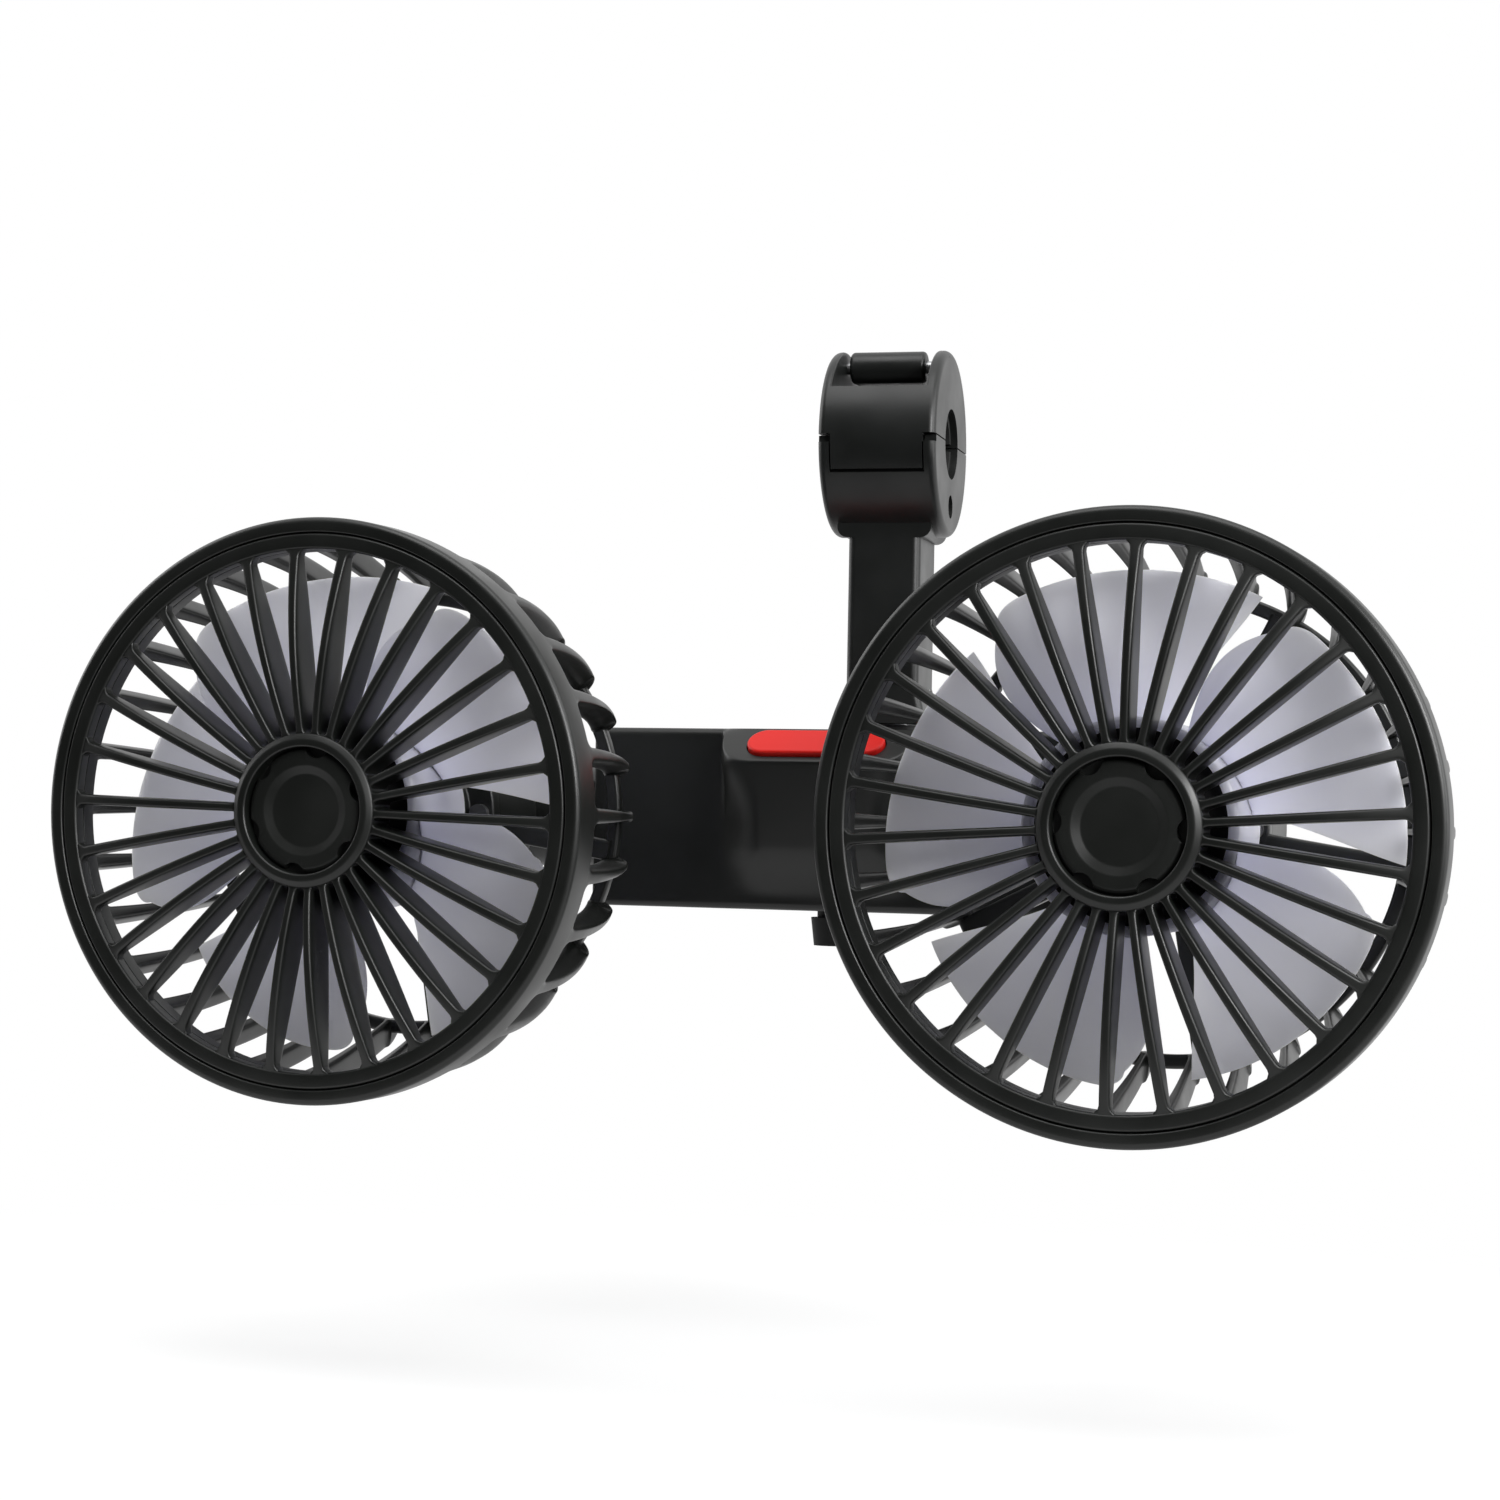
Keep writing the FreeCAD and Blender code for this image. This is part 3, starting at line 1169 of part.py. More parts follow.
failed = [thing.Label for thing in doc.Objects if "Invalid" in thing.State or "Error" in thing.State]
broken = [thing.Label for thing in NODES if thing.Shape.isNull() or not thing.Shape.isValid()]
if failed or broken:
    raise RuntimeError("failed objects %s, broken shapes %s" % (failed, broken))
os.makedirs("parts", exist_ok=True)
for thing in NODES:
    thing.Shape.exportStep("parts/%s.step" % thing.Label)
    print("%-22s %2d solids %10.1f mm3" % (thing.Label, len(thing.Shape.Solids), thing.Shape.Volume))
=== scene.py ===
# %% [markdown]
# A twin fan for the back of a car seat. Two caged fan heads sit on tilting necks at the ends of a short bar, and
# the bar hangs on an arm from a hinged clamp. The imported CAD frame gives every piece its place, so this lesson
# only has to make surfaces and finishes: nothing is fitted by eye afterwards.

# %% Load the frame
import json
import math

import bmesh
import bpy
import numpy as np
from mathutils import Matrix


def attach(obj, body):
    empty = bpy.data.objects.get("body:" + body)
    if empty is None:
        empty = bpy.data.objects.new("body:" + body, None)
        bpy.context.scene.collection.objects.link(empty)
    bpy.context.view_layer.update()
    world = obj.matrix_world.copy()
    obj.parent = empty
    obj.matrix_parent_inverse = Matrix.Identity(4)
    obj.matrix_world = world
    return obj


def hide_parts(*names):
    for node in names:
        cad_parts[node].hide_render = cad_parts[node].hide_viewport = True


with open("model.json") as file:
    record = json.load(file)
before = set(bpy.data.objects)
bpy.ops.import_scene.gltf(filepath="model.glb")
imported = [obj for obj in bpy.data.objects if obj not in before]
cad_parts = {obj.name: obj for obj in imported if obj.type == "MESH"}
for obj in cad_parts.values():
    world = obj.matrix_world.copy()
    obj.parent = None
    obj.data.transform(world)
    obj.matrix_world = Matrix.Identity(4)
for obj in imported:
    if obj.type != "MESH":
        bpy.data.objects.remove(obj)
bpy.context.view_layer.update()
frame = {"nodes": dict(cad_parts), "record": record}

nodes = frame["nodes"]

# %% [markdown]
# The camera comes first, because every later choice is judged through it. The two round rims of the heads are
# ellipses in the picture; their places and shapes give the direction, the distance and the focal length. All
# sizes in this lesson are millimetres, and MM turns them into Blender's metres.

# %% Camera
MM = 0.001
PICTURE_PX = 1500
FOCAL_PX = 3025.6
SENSOR_MM = 36.0
AZIMUTH = math.radians(18.81)
ELEVATION = math.radians(-1.25)
ROLL = math.radians(1.11)
TARGET = np.array([0.01, -92.0, -67.96])
DISTANCE = 560.86

back = np.array([math.sin(AZIMUTH) * math.cos(ELEVATION),
                 -math.cos(AZIMUTH) * math.cos(ELEVATION), math.sin(ELEVATION)])
level = np.array([math.cos(AZIMUTH), math.sin(AZIMUTH), 0.0])
upright = np.cross(back, level)
right = level * math.cos(ROLL) + upright * math.sin(ROLL)
up = upright * math.cos(ROLL) - level * math.sin(ROLL)
place = (TARGET + back * DISTANCE) * MM
lens = bpy.data.cameras.new("photo_lens")
lens.sensor_width = SENSOR_MM
lens.lens = SENSOR_MM * FOCAL_PX / PICTURE_PX
lens.clip_start = 0.01
camera = bpy.data.objects.new("photo_camera", lens)
scene = bpy.context.scene
scene.collection.objects.link(camera)
pose = np.eye(4)
pose[:3, 0], pose[:3, 1], pose[:3, 2], pose[:3, 3] = right, up, back, place
camera.matrix_world = Matrix(pose.tolist())
scene.camera = camera
print("camera stands at", place.round(3), "with a lens of", round(lens.lens, 1), "mm")

# %% [markdown]
# Light and finishes are both made of shader nodes. One function adds a node, sets it up and wires it, so that each
# node takes one readable line below. Colours are written as hex codes, as a paint program shows them, and a second
# function turns them into the linear light that Blender counts in.

# %% Nodes and colours
def add(tree, kind, wires=None, **settings):
    """Adds one node. Settings are its own properties; wires gives each input a value or a node's output."""
    made = tree.nodes.new(kind)
    for name, value in settings.items():
        setattr(made, name, value)
    for socket, source in (wires or {}).items():
        if isinstance(source, bpy.types.NodeSocket):
            tree.links.new(source, made.inputs[socket])
        else:
            made.inputs[socket].default_value = source
    return made


def linear(code):
    """An sRGB hex colour as linear light: each channel's sRGB curve undone, with full opacity."""
    value = np.array([int(code[i:i + 2], 16) for i in (1, 3, 5)]) / 255.0
    bent = np.where(value <= 0.04045, value / 12.92, ((value + 0.055) / 1.055) ** 2.4)
    return tuple(bent.tolist()) + (1.0,)


print("the grey #808080 is", round(linear("#808080")[0], 3), "in linear light")

# %% [markdown]
# Black plastic is drawn mostly by what it reflects. So the surround is white behind the object, in its reflections
# too, and dim on the camera's side, as in a studio. One world shader does it: the direction's Y, which points to
# the rear, sets how bright the surround is, and what the camera sees directly or through glass is plain white.

# %% Surround
DIM, DIM_UNTIL, WHITE_FROM = 0.06, -0.6, 0.35
MIRRORED_FROM = -0.35

scene.view_settings.view_transform = "Standard"
world = bpy.data.worlds.new("studio")
scene.world = world
world.use_nodes = True
sky = world.node_tree
sky.nodes.clear()
rays = add(sky, "ShaderNodeLightPath")
direction = add(sky, "ShaderNodeTexCoord")
split = add(sky, "ShaderNodeSeparateXYZ", {"Vector": direction.outputs["Generated"]})
glow = add(sky, "ShaderNodeMapRange", {"Value": split.outputs["Y"], "From Min": DIM_UNTIL,
                                       "From Max": WHITE_FROM, "To Min": DIM, "To Max": 1.0},
           interpolation_type="SMOOTHSTEP")
behind = add(sky, "ShaderNodeMapRange", {"Value": split.outputs["Y"], "From Min": MIRRORED_FROM,
                                         "From Max": WHITE_FROM, "To Min": 0.0, "To Max": 1.0},
             interpolation_type="SMOOTHSTEP")
mirrored = add(sky, "ShaderNodeMath", {0: rays.outputs["Is Glossy Ray"], 1: behind.outputs["Result"]},
               operation="MULTIPLY")
indirect = add(sky, "ShaderNodeMath", {0: mirrored.outputs[0], 1: rays.outputs["Is Transmission Ray"]},
               operation="MAXIMUM")
seen = add(sky, "ShaderNodeMath", {0: rays.outputs["Is Camera Ray"], 1: indirect.outputs[0]},
           operation="MAXIMUM")
strength = add(sky, "ShaderNodeMix", {"Factor": seen.outputs[0], "A": glow.outputs["Result"], "B": 1.0})
backdrop = add(sky, "ShaderNodeBackground", {"Color": (1, 1, 1, 1), "Strength": strength.outputs["Result"]})
add(sky, "ShaderNodeOutputWorld", {"Surface": backdrop.outputs[0]})
print("surround of", len(sky.nodes), "nodes, from", DIM, "at the camera to 1 at the back")

# %% [markdown]
# Four soft boxes light the fan: one above, one far off to the right in front, and one at each side. Large lamps
# give the broad, soft highlights that moulded plastic has. None stands where a face that looks forwards would
# mirror it, or the black would turn grey.

# %% Soft boxes
MIDDLE = (0, -40, -70)
BOXES = {"top_box": ((40, -330, 700), (700, 500), 3.5),
         "front_box": ((1080, -930, 430), (530, 530), 18.0),
         "left_box": ((-760, -60, 300), (420, 620), 2.0),
         "right_box": ((780, -60, 200), (420, 620), 3.0)}


def soft_box(name, spot, size, power):
    """A rectangular lamp at spot (mm) that faces the middle of the fan, with its upper edge level."""
    lamp = bpy.data.lights.new(name, "AREA")
    lamp.shape = "RECTANGLE"
    lamp.size, lamp.size_y = np.multiply(size, MM)
    lamp.energy = power
    holder = bpy.data.objects.new(name, lamp)
    scene.collection.objects.link(holder)
    away = np.subtract(spot, MIDDLE).astype(float)
    away /= np.linalg.norm(away)
    side = np.cross([0.0, 0.0, 1.0], away)
    side /= np.linalg.norm(side)
    turn = np.eye(4)
    turn[:3, 0], turn[:3, 1], turn[:3, 2] = side, np.cross(away, side), away
    turn[:3, 3] = np.multiply(spot, MM)
    holder.matrix_world = Matrix(turn.tolist())


for name, (spot, size, power) in BOXES.items():
    soft_box(name, spot, size, power)
print(len(BOXES), "soft boxes of", sum(power for spot, size, power in BOXES.values()), "W together")

# %% [markdown]
# The floor is a sheet of paper. It ends soon in front of the object and looks grey to all rays but the camera's, so
# that it throws little light back on the black undersides. It lies low enough for a head that tilts down, because
# the fan hangs on its post. It keeps the shadow in its middle, and fades into the white around it in an oval.

# %% Paper floor
FLOOR_LEVEL, FLOOR_X, FLOOR_Y = -193.0, (-370.0, 350.0), (-250.0, 210.0)
OVAL_SHIFT, OVAL_SCALE = (0.01, 0.03, 0.0), (1.0, 1.55, 0.0)
FADE_FROM, FADE_TO, WHITE_SHARE = 0.17, 0.34, 0.5

grid_x, grid_y = np.meshgrid(FLOOR_X, FLOOR_Y)
corners = np.stack([grid_x, grid_y, np.full_like(grid_x, FLOOR_LEVEL)], -1).reshape(-1, 3) * MM
floor_mesh = bpy.data.meshes.new("floor")
floor_mesh.from_pydata(corners.tolist(), [], [(0, 1, 3, 2)])
floor = bpy.data.objects.new("floor", floor_mesh)
scene.collection.objects.link(floor)
paper = bpy.data.materials.new("paper_floor")
paper.use_nodes = True
floor_mesh.materials.append(paper)
sheet = paper.node_tree
matt = sheet.nodes["Principled BSDF"]
matt.inputs["Roughness"].default_value = 0.95
ground = add(sheet, "ShaderNodeTexCoord")
oval = add(sheet, "ShaderNodeMapping", {"Vector": ground.outputs["Object"], "Location": OVAL_SHIFT,
                                        "Scale": OVAL_SCALE})
reach = add(sheet, "ShaderNodeVectorMath", {0: oval.outputs["Vector"]}, operation="LENGTH")
fade = add(sheet, "ShaderNodeMapRange", {"Value": reach.outputs["Value"], "From Min": FADE_FROM,
                                         "From Max": FADE_TO, "To Min": WHITE_SHARE, "To Max": 1.0},
           interpolation_type="SMOOTHSTEP")
view = add(sheet, "ShaderNodeLightPath")
shown = add(sheet, "ShaderNodeMath", {0: view.outputs["Is Camera Ray"], 1: view.outputs["Is Glossy Ray"]},
            operation="MAXIMUM")
share = add(sheet, "ShaderNodeMath", {0: shown.outputs[0], 1: fade.outputs["Result"]}, operation="MULTIPLY")
tone = add(sheet, "ShaderNodeMix", {"Factor": view.outputs["Is Camera Ray"], "A": linear("#a4a4a4"),
                                    "B": linear("#f6f6f6")}, data_type="RGBA")
sheet.links.new(tone.outputs["Result"], matt.inputs["Base Color"])
white = add(sheet, "ShaderNodeEmission", {"Color": (1, 1, 1, 1), "Strength": 1.0})
blend = add(sheet, "ShaderNodeMixShader", {0: share.outputs[0], 1: matt.outputs[0], 2: white.outputs[0]})
sheet.links.new(blend.outputs[0], sheet.nodes["Material Output"].inputs["Surface"])
print("floor at", FLOOR_LEVEL, "mm")

# %% [markdown]
# Finishes. Nearly everything is ABS, moulded in a spark-eroded tool: a near black with a soft sheen and a very fine
# grain. An image could carry the grain, but a noise on Object coordinates has no seams and stays with its piece in
# every pose. The real grain is about 0.1 mm, too fine for the picture, so it is drawn three to five times coarser.

# %% One finish
finishes = {}


def finish(slot, name, tones, roughness, grain_mm, relief_mm, patch_mm=14.0, spread=0.06, **sockets):
    """One moulded, turned or cast surface: two tones that mix in patches, a grain in the relief, and a
    roughness that wanders by spread from patch to patch. A noise's scale is 1000 over its size in mm."""
    made = bpy.data.materials.new(name)
    made.use_nodes = True
    tree = made.node_tree
    shader = tree.nodes["Principled BSDF"]
    spot = add(tree, "ShaderNodeTexCoord").outputs["Object"]
    patch = add(tree, "ShaderNodeTexNoise", {"Vector": spot, "Scale": 1000.0 / patch_mm, "Detail": 4.0})
    grain = add(tree, "ShaderNodeTexNoise", {"Vector": spot, "Scale": 1000.0 / grain_mm, "Detail": 2.0})
    colour = add(tree, "ShaderNodeMix", {"Factor": patch.outputs["Fac"], "A": linear(tones[0]),
                                         "B": linear(tones[1])}, data_type="RGBA")
    rough = add(tree, "ShaderNodeMapRange", {"Value": patch.outputs["Fac"], "From Min": 0.3, "From Max": 0.7,
                                             "To Min": roughness - spread, "To Max": roughness + spread})
    relief = add(tree, "ShaderNodeBump", {"Height": grain.outputs["Fac"], "Strength": 1.0,
                                          "Distance": relief_mm * MM})
    tree.links.new(colour.outputs["Result"], shader.inputs["Base Color"])
    tree.links.new(rough.outputs["Result"], shader.inputs["Roughness"])
    tree.links.new(relief.outputs["Normal"], shader.inputs["Normal"])
    for socket, value in sockets.items():
        shader.inputs[socket.replace("_", " ")].default_value = value
    finishes[slot] = made


# %% Plastics and rubber
# ABS from a finely eroded tool: black, with a satin highlight that follows every rounded edge.
finish("grille_abs", "satin_black_abs", ("#0e100e", "#131513"), 0.4, 0.5, 0.004, IOR=1.53)
finish("cap_abs", "satin_black_abs_cap", ("#101210", "#151715"), 0.42, 0.5, 0.004, IOR=1.53)
finish("cage_abs", "satin_black_abs_cage", ("#0e100e", "#131513"), 0.38, 0.5, 0.004, IOR=1.53)
# ABS from a coarser tool: the grain breaks the highlight up, and flat faces stay nearly black.
finish("body_abs", "textured_black_abs_bar", ("#0a0c0a", "#0f110f"), 0.42, 0.45, 0.006, IOR=1.53)
finish("clamp_abs", "textured_black_abs_clamp", ("#0d0f0e", "#121413"), 0.4, 0.45, 0.005, IOR=1.53)
# Unfilled polypropylene: milky and faintly violet, so that light goes into a blade and comes out beside.
finish("blade_pp", "milky_polypropylene", ("#d0d0f5", "#dadaf9"), 0.38, 1.2, 0.002, IOR=1.49,
       Subsurface_Weight=1.0, Subsurface_Scale=0.012, Subsurface_Radius=(1.0, 1.0, 1.0))
# Red ABS with a light texture: little gloss, so that the colour stays strong under the lamp above.
finish("button_red", "red_abs_button", ("#da1811", "#e12018"), 0.42, 0.6, 0.002, IOR=1.53,
       Specular_IOR_Level=0.25)
# Moulded rubber: dull, with no clear highlight at all.
finish("rubber", "black_rubber", ("#111211", "#181918"), 0.72, 0.4, 0.01, IOR=1.52)
# Nylon and the switch's case: a plain moulded black, a shade lighter than the ABS.
finish("nylon", "black_nylon", ("#1b1b1c", "#232324"), 0.5, 0.5, 0.004, IOR=1.53)
finish("switch_case", "moulded_switch", ("#1a1a1a", "#222222"), 0.5, 0.4, 0.004, IOR=1.53)
print(len(finishes), "plastics and rubbers")

# %% Metals and the board
# Turned steel and zinc plate: grey metal whose sheen changes a little from place to place.
finish("steel", "turned_steel", ("#a9aaab", "#c2c3c4"), 0.34, 0.35, 0.003, patch_mm=3.0, Metallic=1.0)
finish("zinc_plate", "zinc_plated_can", ("#b4b6b5", "#c9cbcb"), 0.38, 0.8, 0.003, patch_mm=5.0, Metallic=1.0)
# Sintered bronze: pressed from powder, so it is dull and speckled.
finish("bronze", "sintered_bronze", ("#9c7a3e", "#b28d4c"), 0.5, 0.2, 0.01, patch_mm=1.0, Metallic=1.0)
# Solder mask: green lacquer on a board, smooth and fairly glossy.
finish("board", "solder_mask", ("#0e4a26", "#125a2e"), 0.35, 1.0, 0.004, IOR=1.5)

slot_of = {entry["node"]: entry["material_slot"] for entry in frame["record"]["subparts"]}
for name, node in nodes.items():
    node.data.materials.clear()
    node.data.materials.append(finishes[slot_of[name]])
print(len(finishes), "finishes on", len(nodes), "nodes")

# %% [markdown]
# Every new surface is a grid of points. A turned part is a profile carried round an axis, a bar or a rib is a closed
# section carried along a path, and a pattern is the same grid turned many times. Modelling by hand would give the
# same shapes, but a formula can be read, checked and changed. The helpers below give the points in millimetres and
# the corner numbers of the faces.

# %% Grids and outlines
def cells(rows, columns, wrap_rows, wrap_columns):
    """Corner numbers of a grid's cells: each joins a point with the next in its row and the two a row on."""
    row = np.arange(rows if wrap_rows else rows - 1)
    column = np.arange(columns if wrap_columns else columns - 1)
    row, column = (part.ravel() for part in np.meshgrid(row, column, indexing="ij"))
    below, beside = (row + 1) % rows, (column + 1) % columns
    return np.stack([row * columns + column, below * columns + column, below * columns + beside,
                     row * columns + beside], 1)


def rounded(corners, steps=7, closed=True):
    """Outline through corners (x, y, r): each corner becomes a circular arc of radius r that touches both
    sides. The arc's points are the start and end spokes mixed by sines, which keeps them on the circle."""
    table = np.array(corners, float)
    spots, radius = table[:, :2], np.maximum(table[:, 2:], 1e-6)
    before = np.roll(spots, 1, 0) - spots
    after = np.roll(spots, -1, 0) - spots
    before /= np.linalg.norm(before, axis=1, keepdims=True)
    after /= np.linalg.norm(after, axis=1, keepdims=True)
    half = 0.5 * np.arccos(np.clip((before * after).sum(1, keepdims=True), -1, 1))
    middle = before + after
    middle /= np.linalg.norm(middle, axis=1, keepdims=True)
    centre = spots + middle * radius / np.sin(half)
    first = spots + before * radius / np.tan(half) - centre
    last = spots + after * radius / np.tan(half) - centre
    sweep = (math.pi - 2 * half)[:, None]
    share = np.linspace(0, 1, steps)[None, :, None]
    arc = np.sin((1 - share) * sweep) * first[:, None] + np.sin(share * sweep) * last[:, None]
    path = (centre[:, None] + arc / np.sin(sweep)).reshape(-1, 2)
    return path if closed else np.concatenate([spots[:1], path[steps:-steps], spots[-1:]])


def through(three, at):
    """The parabola through three (x, y) points, read at many x."""
    x, y = np.array(three, float).T
    return np.polyval(np.polyfit(x, y, 2), at)


print("a grid of 3 by 4 points has", len(cells(3, 4, False, False)), "cells")

# %% Turned parts, sections and copies
def lathe(profile, steps=160, closed=True, limit=None):
    """A profile (radius, depth) carried round the fan axis: x = r cos t, z = r sin t. A limit on the radius at
    each angle cuts notches into the edge."""
    turn = np.linspace(0, 2 * math.pi, steps, endpoint=False)[:, None]
    radius = np.broadcast_to(profile[:, 0], (steps, len(profile)))
    if limit is not None:
        radius = np.minimum(radius, limit(np.degrees(turn)))
    depth = np.broadcast_to(profile[:, 1], radius.shape)
    points = np.stack([radius * np.cos(turn), depth, radius * np.sin(turn)], -1)
    return points.reshape(-1, 3), cells(steps, len(profile), True, closed)


def loop(count, power):
    """A closed section in a square from -1 to 1: a superellipse, cos and sin raised to 2/power with their
    signs. Its second half mirrors the first, so that an end is closed by joining each point with its mirror."""
    angle = math.pi - (np.arange(count) + 0.5) * 2 * math.pi / count
    bend = 2.0 / power
    return (np.sign(np.cos(angle)) * np.abs(np.cos(angle)) ** bend,
            np.sign(np.sin(angle)) * np.abs(np.sin(angle)) ** bend)


def tubes(points):
    """Faces of copies of a tube whose rows are closed sections, with both ends closed by strips."""
    copies, rows, columns = points.shape[:3]
    wall = cells(rows, columns, False, True)
    column = np.arange(columns // 2 - 1)
    lid = np.stack([column, column + 1, columns - 2 - column, columns - 1 - column], 1)
    one = np.concatenate([wall, lid, lid[:, ::-1] + (rows - 1) * columns])
    shift = np.arange(copies)[:, None, None] * rows * columns
    return points.reshape(-1, 3), (one[None] + shift).reshape(-1, 4)


def spin(points, count, first):
    """Copies of points spread evenly round the fan axis, the first turned by an angle in degrees:
    x' = x cos a - z sin a, z' = x sin a + z cos a."""
    angle = np.radians(first + np.arange(count) * 360 / count).reshape((-1,) + (1,) * (points.ndim - 1))
    x, y, z = points[None, ..., 0], points[None, ..., 1], points[None, ..., 2]
    return np.stack([x * np.cos(angle) - z * np.sin(angle), y + 0 * angle,
                     x * np.sin(angle) + z * np.cos(angle)], -1)


print("a section of 28 points reaches", loop(28, 5.0)[0].max().round(3), "of its half width")

# %% From shells to a piece
MERGE_M = 2e-7


def make(name, shells, offset, body, slot, *replaced, sharp=40.0):
    """One object from several shells of (points, faces), moved by offset (mm), riding on a body. Points that
    coincide are merged, and edges that bend by more than sharp degrees stay crisp."""
    starts = np.cumsum([0] + [len(points) for points, quads in shells])
    points = (np.concatenate([points for points, quads in shells]) + offset) * MM
    faces = np.concatenate([quads + start for (_, quads), start in zip(shells, starts)])
    mesh = bpy.data.meshes.new(name)
    mesh.from_pydata(points.tolist(), [], faces.tolist())
    work = bmesh.new()
    work.from_mesh(mesh)
    bmesh.ops.remove_doubles(work, verts=work.verts, dist=MERGE_M)
    bmesh.ops.recalc_face_normals(work, faces=work.faces)
    work.to_mesh(mesh)
    work.free()
    mesh.shade_smooth()
    mesh.set_sharp_from_angle(angle=math.radians(sharp))
    mesh.materials.append(finishes[slot])
    made = bpy.data.objects.new(name, mesh)
    scene.collection.objects.link(made)
    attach(made, body)
    if replaced:
        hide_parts(*replaced)
    print(name, len(mesh.vertices), "points,", len(mesh.polygons), "faces")


HEADS = {"left": np.array([-91.3, -92.0, -80.8]), "right": np.array([69.7, -92.0, -80.8])}
print("the heads stand", HEADS["right"][0] - HEADS["left"][0], "mm apart")

# %% [markdown]
# The front grille is one moulding: a hub ring, thirty slim spokes and an outer ring. On the real part the spokes
# have rounded front edges and run into the ring through small fillets. Cutting slots in a disc gives hard edges, so
# each spoke is a soft-cornered section carried outwards instead.

# %% Front grilles
SPOKES = 30
HALF_PITCH = math.tan(math.pi / SPOKES)
GRILLE_TURN = {"left": 10.4, "right": 15.7}
SPOKE_IN, SPOKE_OUT = 13.6, 52.3
HUB_EDGE, RING_EDGE = 15.1, 51.15
HUB_HALF, RING_HALF = 0.9, 1.06
HUB_ROUND, SLOT_ROUND = 0.7, 1.4
SPOKE_FRONT = [(HUB_EDGE, -1.1), (36.2, -2.4), (RING_EDGE, 0.15)]
SPOKE_REAR = [(HUB_EDGE, 6.7), (36.2, 5.0), (RING_EDGE, 2.9)]
GRILLE_RING = rounded([(RING_EDGE, 0.0, 0.7), (54.25, 0.0, 0.55), (54.25, 3.0, 0.3), (RING_EDGE, 3.0, 0.4)])
GRILLE_HUB = rounded([(0, 1.2, 0), (12.4, 1.2, 0.15), (12.4, -2.0, 0.5), (13.8, -2.0, 1.2),
                      (HUB_EDGE, -1.3, 0.6), (HUB_EDGE, 6.8, 0.5), (12.9, 6.8, 0.4), (12.9, 3.6, 0.2),
                      (0, 3.6, 0)], closed=False)


def swell(gap, radius):
    """How much a corner of the given radius widens a bar at this distance from the edge it runs into."""
    inside = np.clip(radius - gap, 0, radius)
    return radius - np.sqrt(radius ** 2 - inside ** 2)


def spoke():
    """Rows run outwards. The half width grows a little with the radius and swells at both ends; the front
    follows a shallow dome and dips below the ring's face where the spoke enters it."""
    share = 0.5 - 0.5 * np.cos(np.linspace(0, math.pi, 44))
    out = SPOKE_IN + (SPOKE_OUT - SPOKE_IN) * share
    half = np.interp(out, [HUB_EDGE, RING_EDGE], [HUB_HALF, RING_HALF])
    half = half + swell(RING_EDGE - out, SLOT_ROUND) + swell(out - HUB_EDGE, HUB_ROUND)
    half = np.minimum(half, out * HALF_PITCH * 0.999)
    front, rear = through(SPOKE_FRONT, out), through(SPOKE_REAR, out)
    across, along = loop(28, 5.0)
    depth = (front + rear)[:, None] / 2 + (rear - front)[:, None] / 2 * along
    return np.stack([np.broadcast_to(out[:, None], depth.shape), depth, half[:, None] * across], -1)


for side, offset in HEADS.items():
    spokes = spin(spoke(), SPOKES, GRILLE_TURN[side])
    make(side + "_grille", [lathe(GRILLE_RING, 240), lathe(GRILLE_HUB, closed=False), tubes(spokes)],
         offset, side + "_head", "grille_abs", side + "_front_grille")

# %% [markdown]
# The hub cap is a shallow button that lies a little behind the front of the hub ring. Its raised rim has six round
# bites for a tool, and its middle is dished. A turned profile whose radius is limited by the bites' circles gives
# them without any cutting.

# %% Hub caps
CAP_EDGE, BITES, BITE_CENTRE, BITE_RADIUS = 12.2, 6, 12.9, 2.5
BITE_TURN = {"left": 20.0, "right": 57.0}
CAP = rounded([(0, 1.2, 0), (CAP_EDGE, 1.2, 0.05), (CAP_EDGE, -0.6, 1.3), (8.9, -0.6, 1.2), (7.1, 0.1, 1.2),
               (0, 0.1, 0)], closed=False)


def bitten(shift):
    """Gives the radius of a cap's edge at each angle, with the first bite turned by shift degrees."""
    def limit(degrees):
        """The cap's edge, or the near side of a bite's circle where a ray from the axis meets that circle."""
        pitch = 360.0 / BITES
        off = np.radians((degrees - shift + pitch / 2) % pitch - pitch / 2)
        inside = BITE_RADIUS ** 2 - (BITE_CENTRE * np.sin(off)) ** 2
        near_side = BITE_CENTRE * np.cos(off) - np.sqrt(np.maximum(inside, 0))
        return np.where(inside > 0, near_side, CAP_EDGE)
    return limit


for side, offset in HEADS.items():
    make(side + "_cap", [lathe(CAP, 480, False, bitten(BITE_TURN[side]))], offset, side + "_head",
         "cap_abs", side + "_hub_cap")

# %% [markdown]
# The rear cage carries the motor: a rim, thirty fins that bow outwards and taper to their free tips, a thin ring
# inside the tips, five arms and a motor cup. The gaps between the fins start at the rim with round corners. As with
# the spokes, a section carried along each fin gives the soft edges that the moulding has.

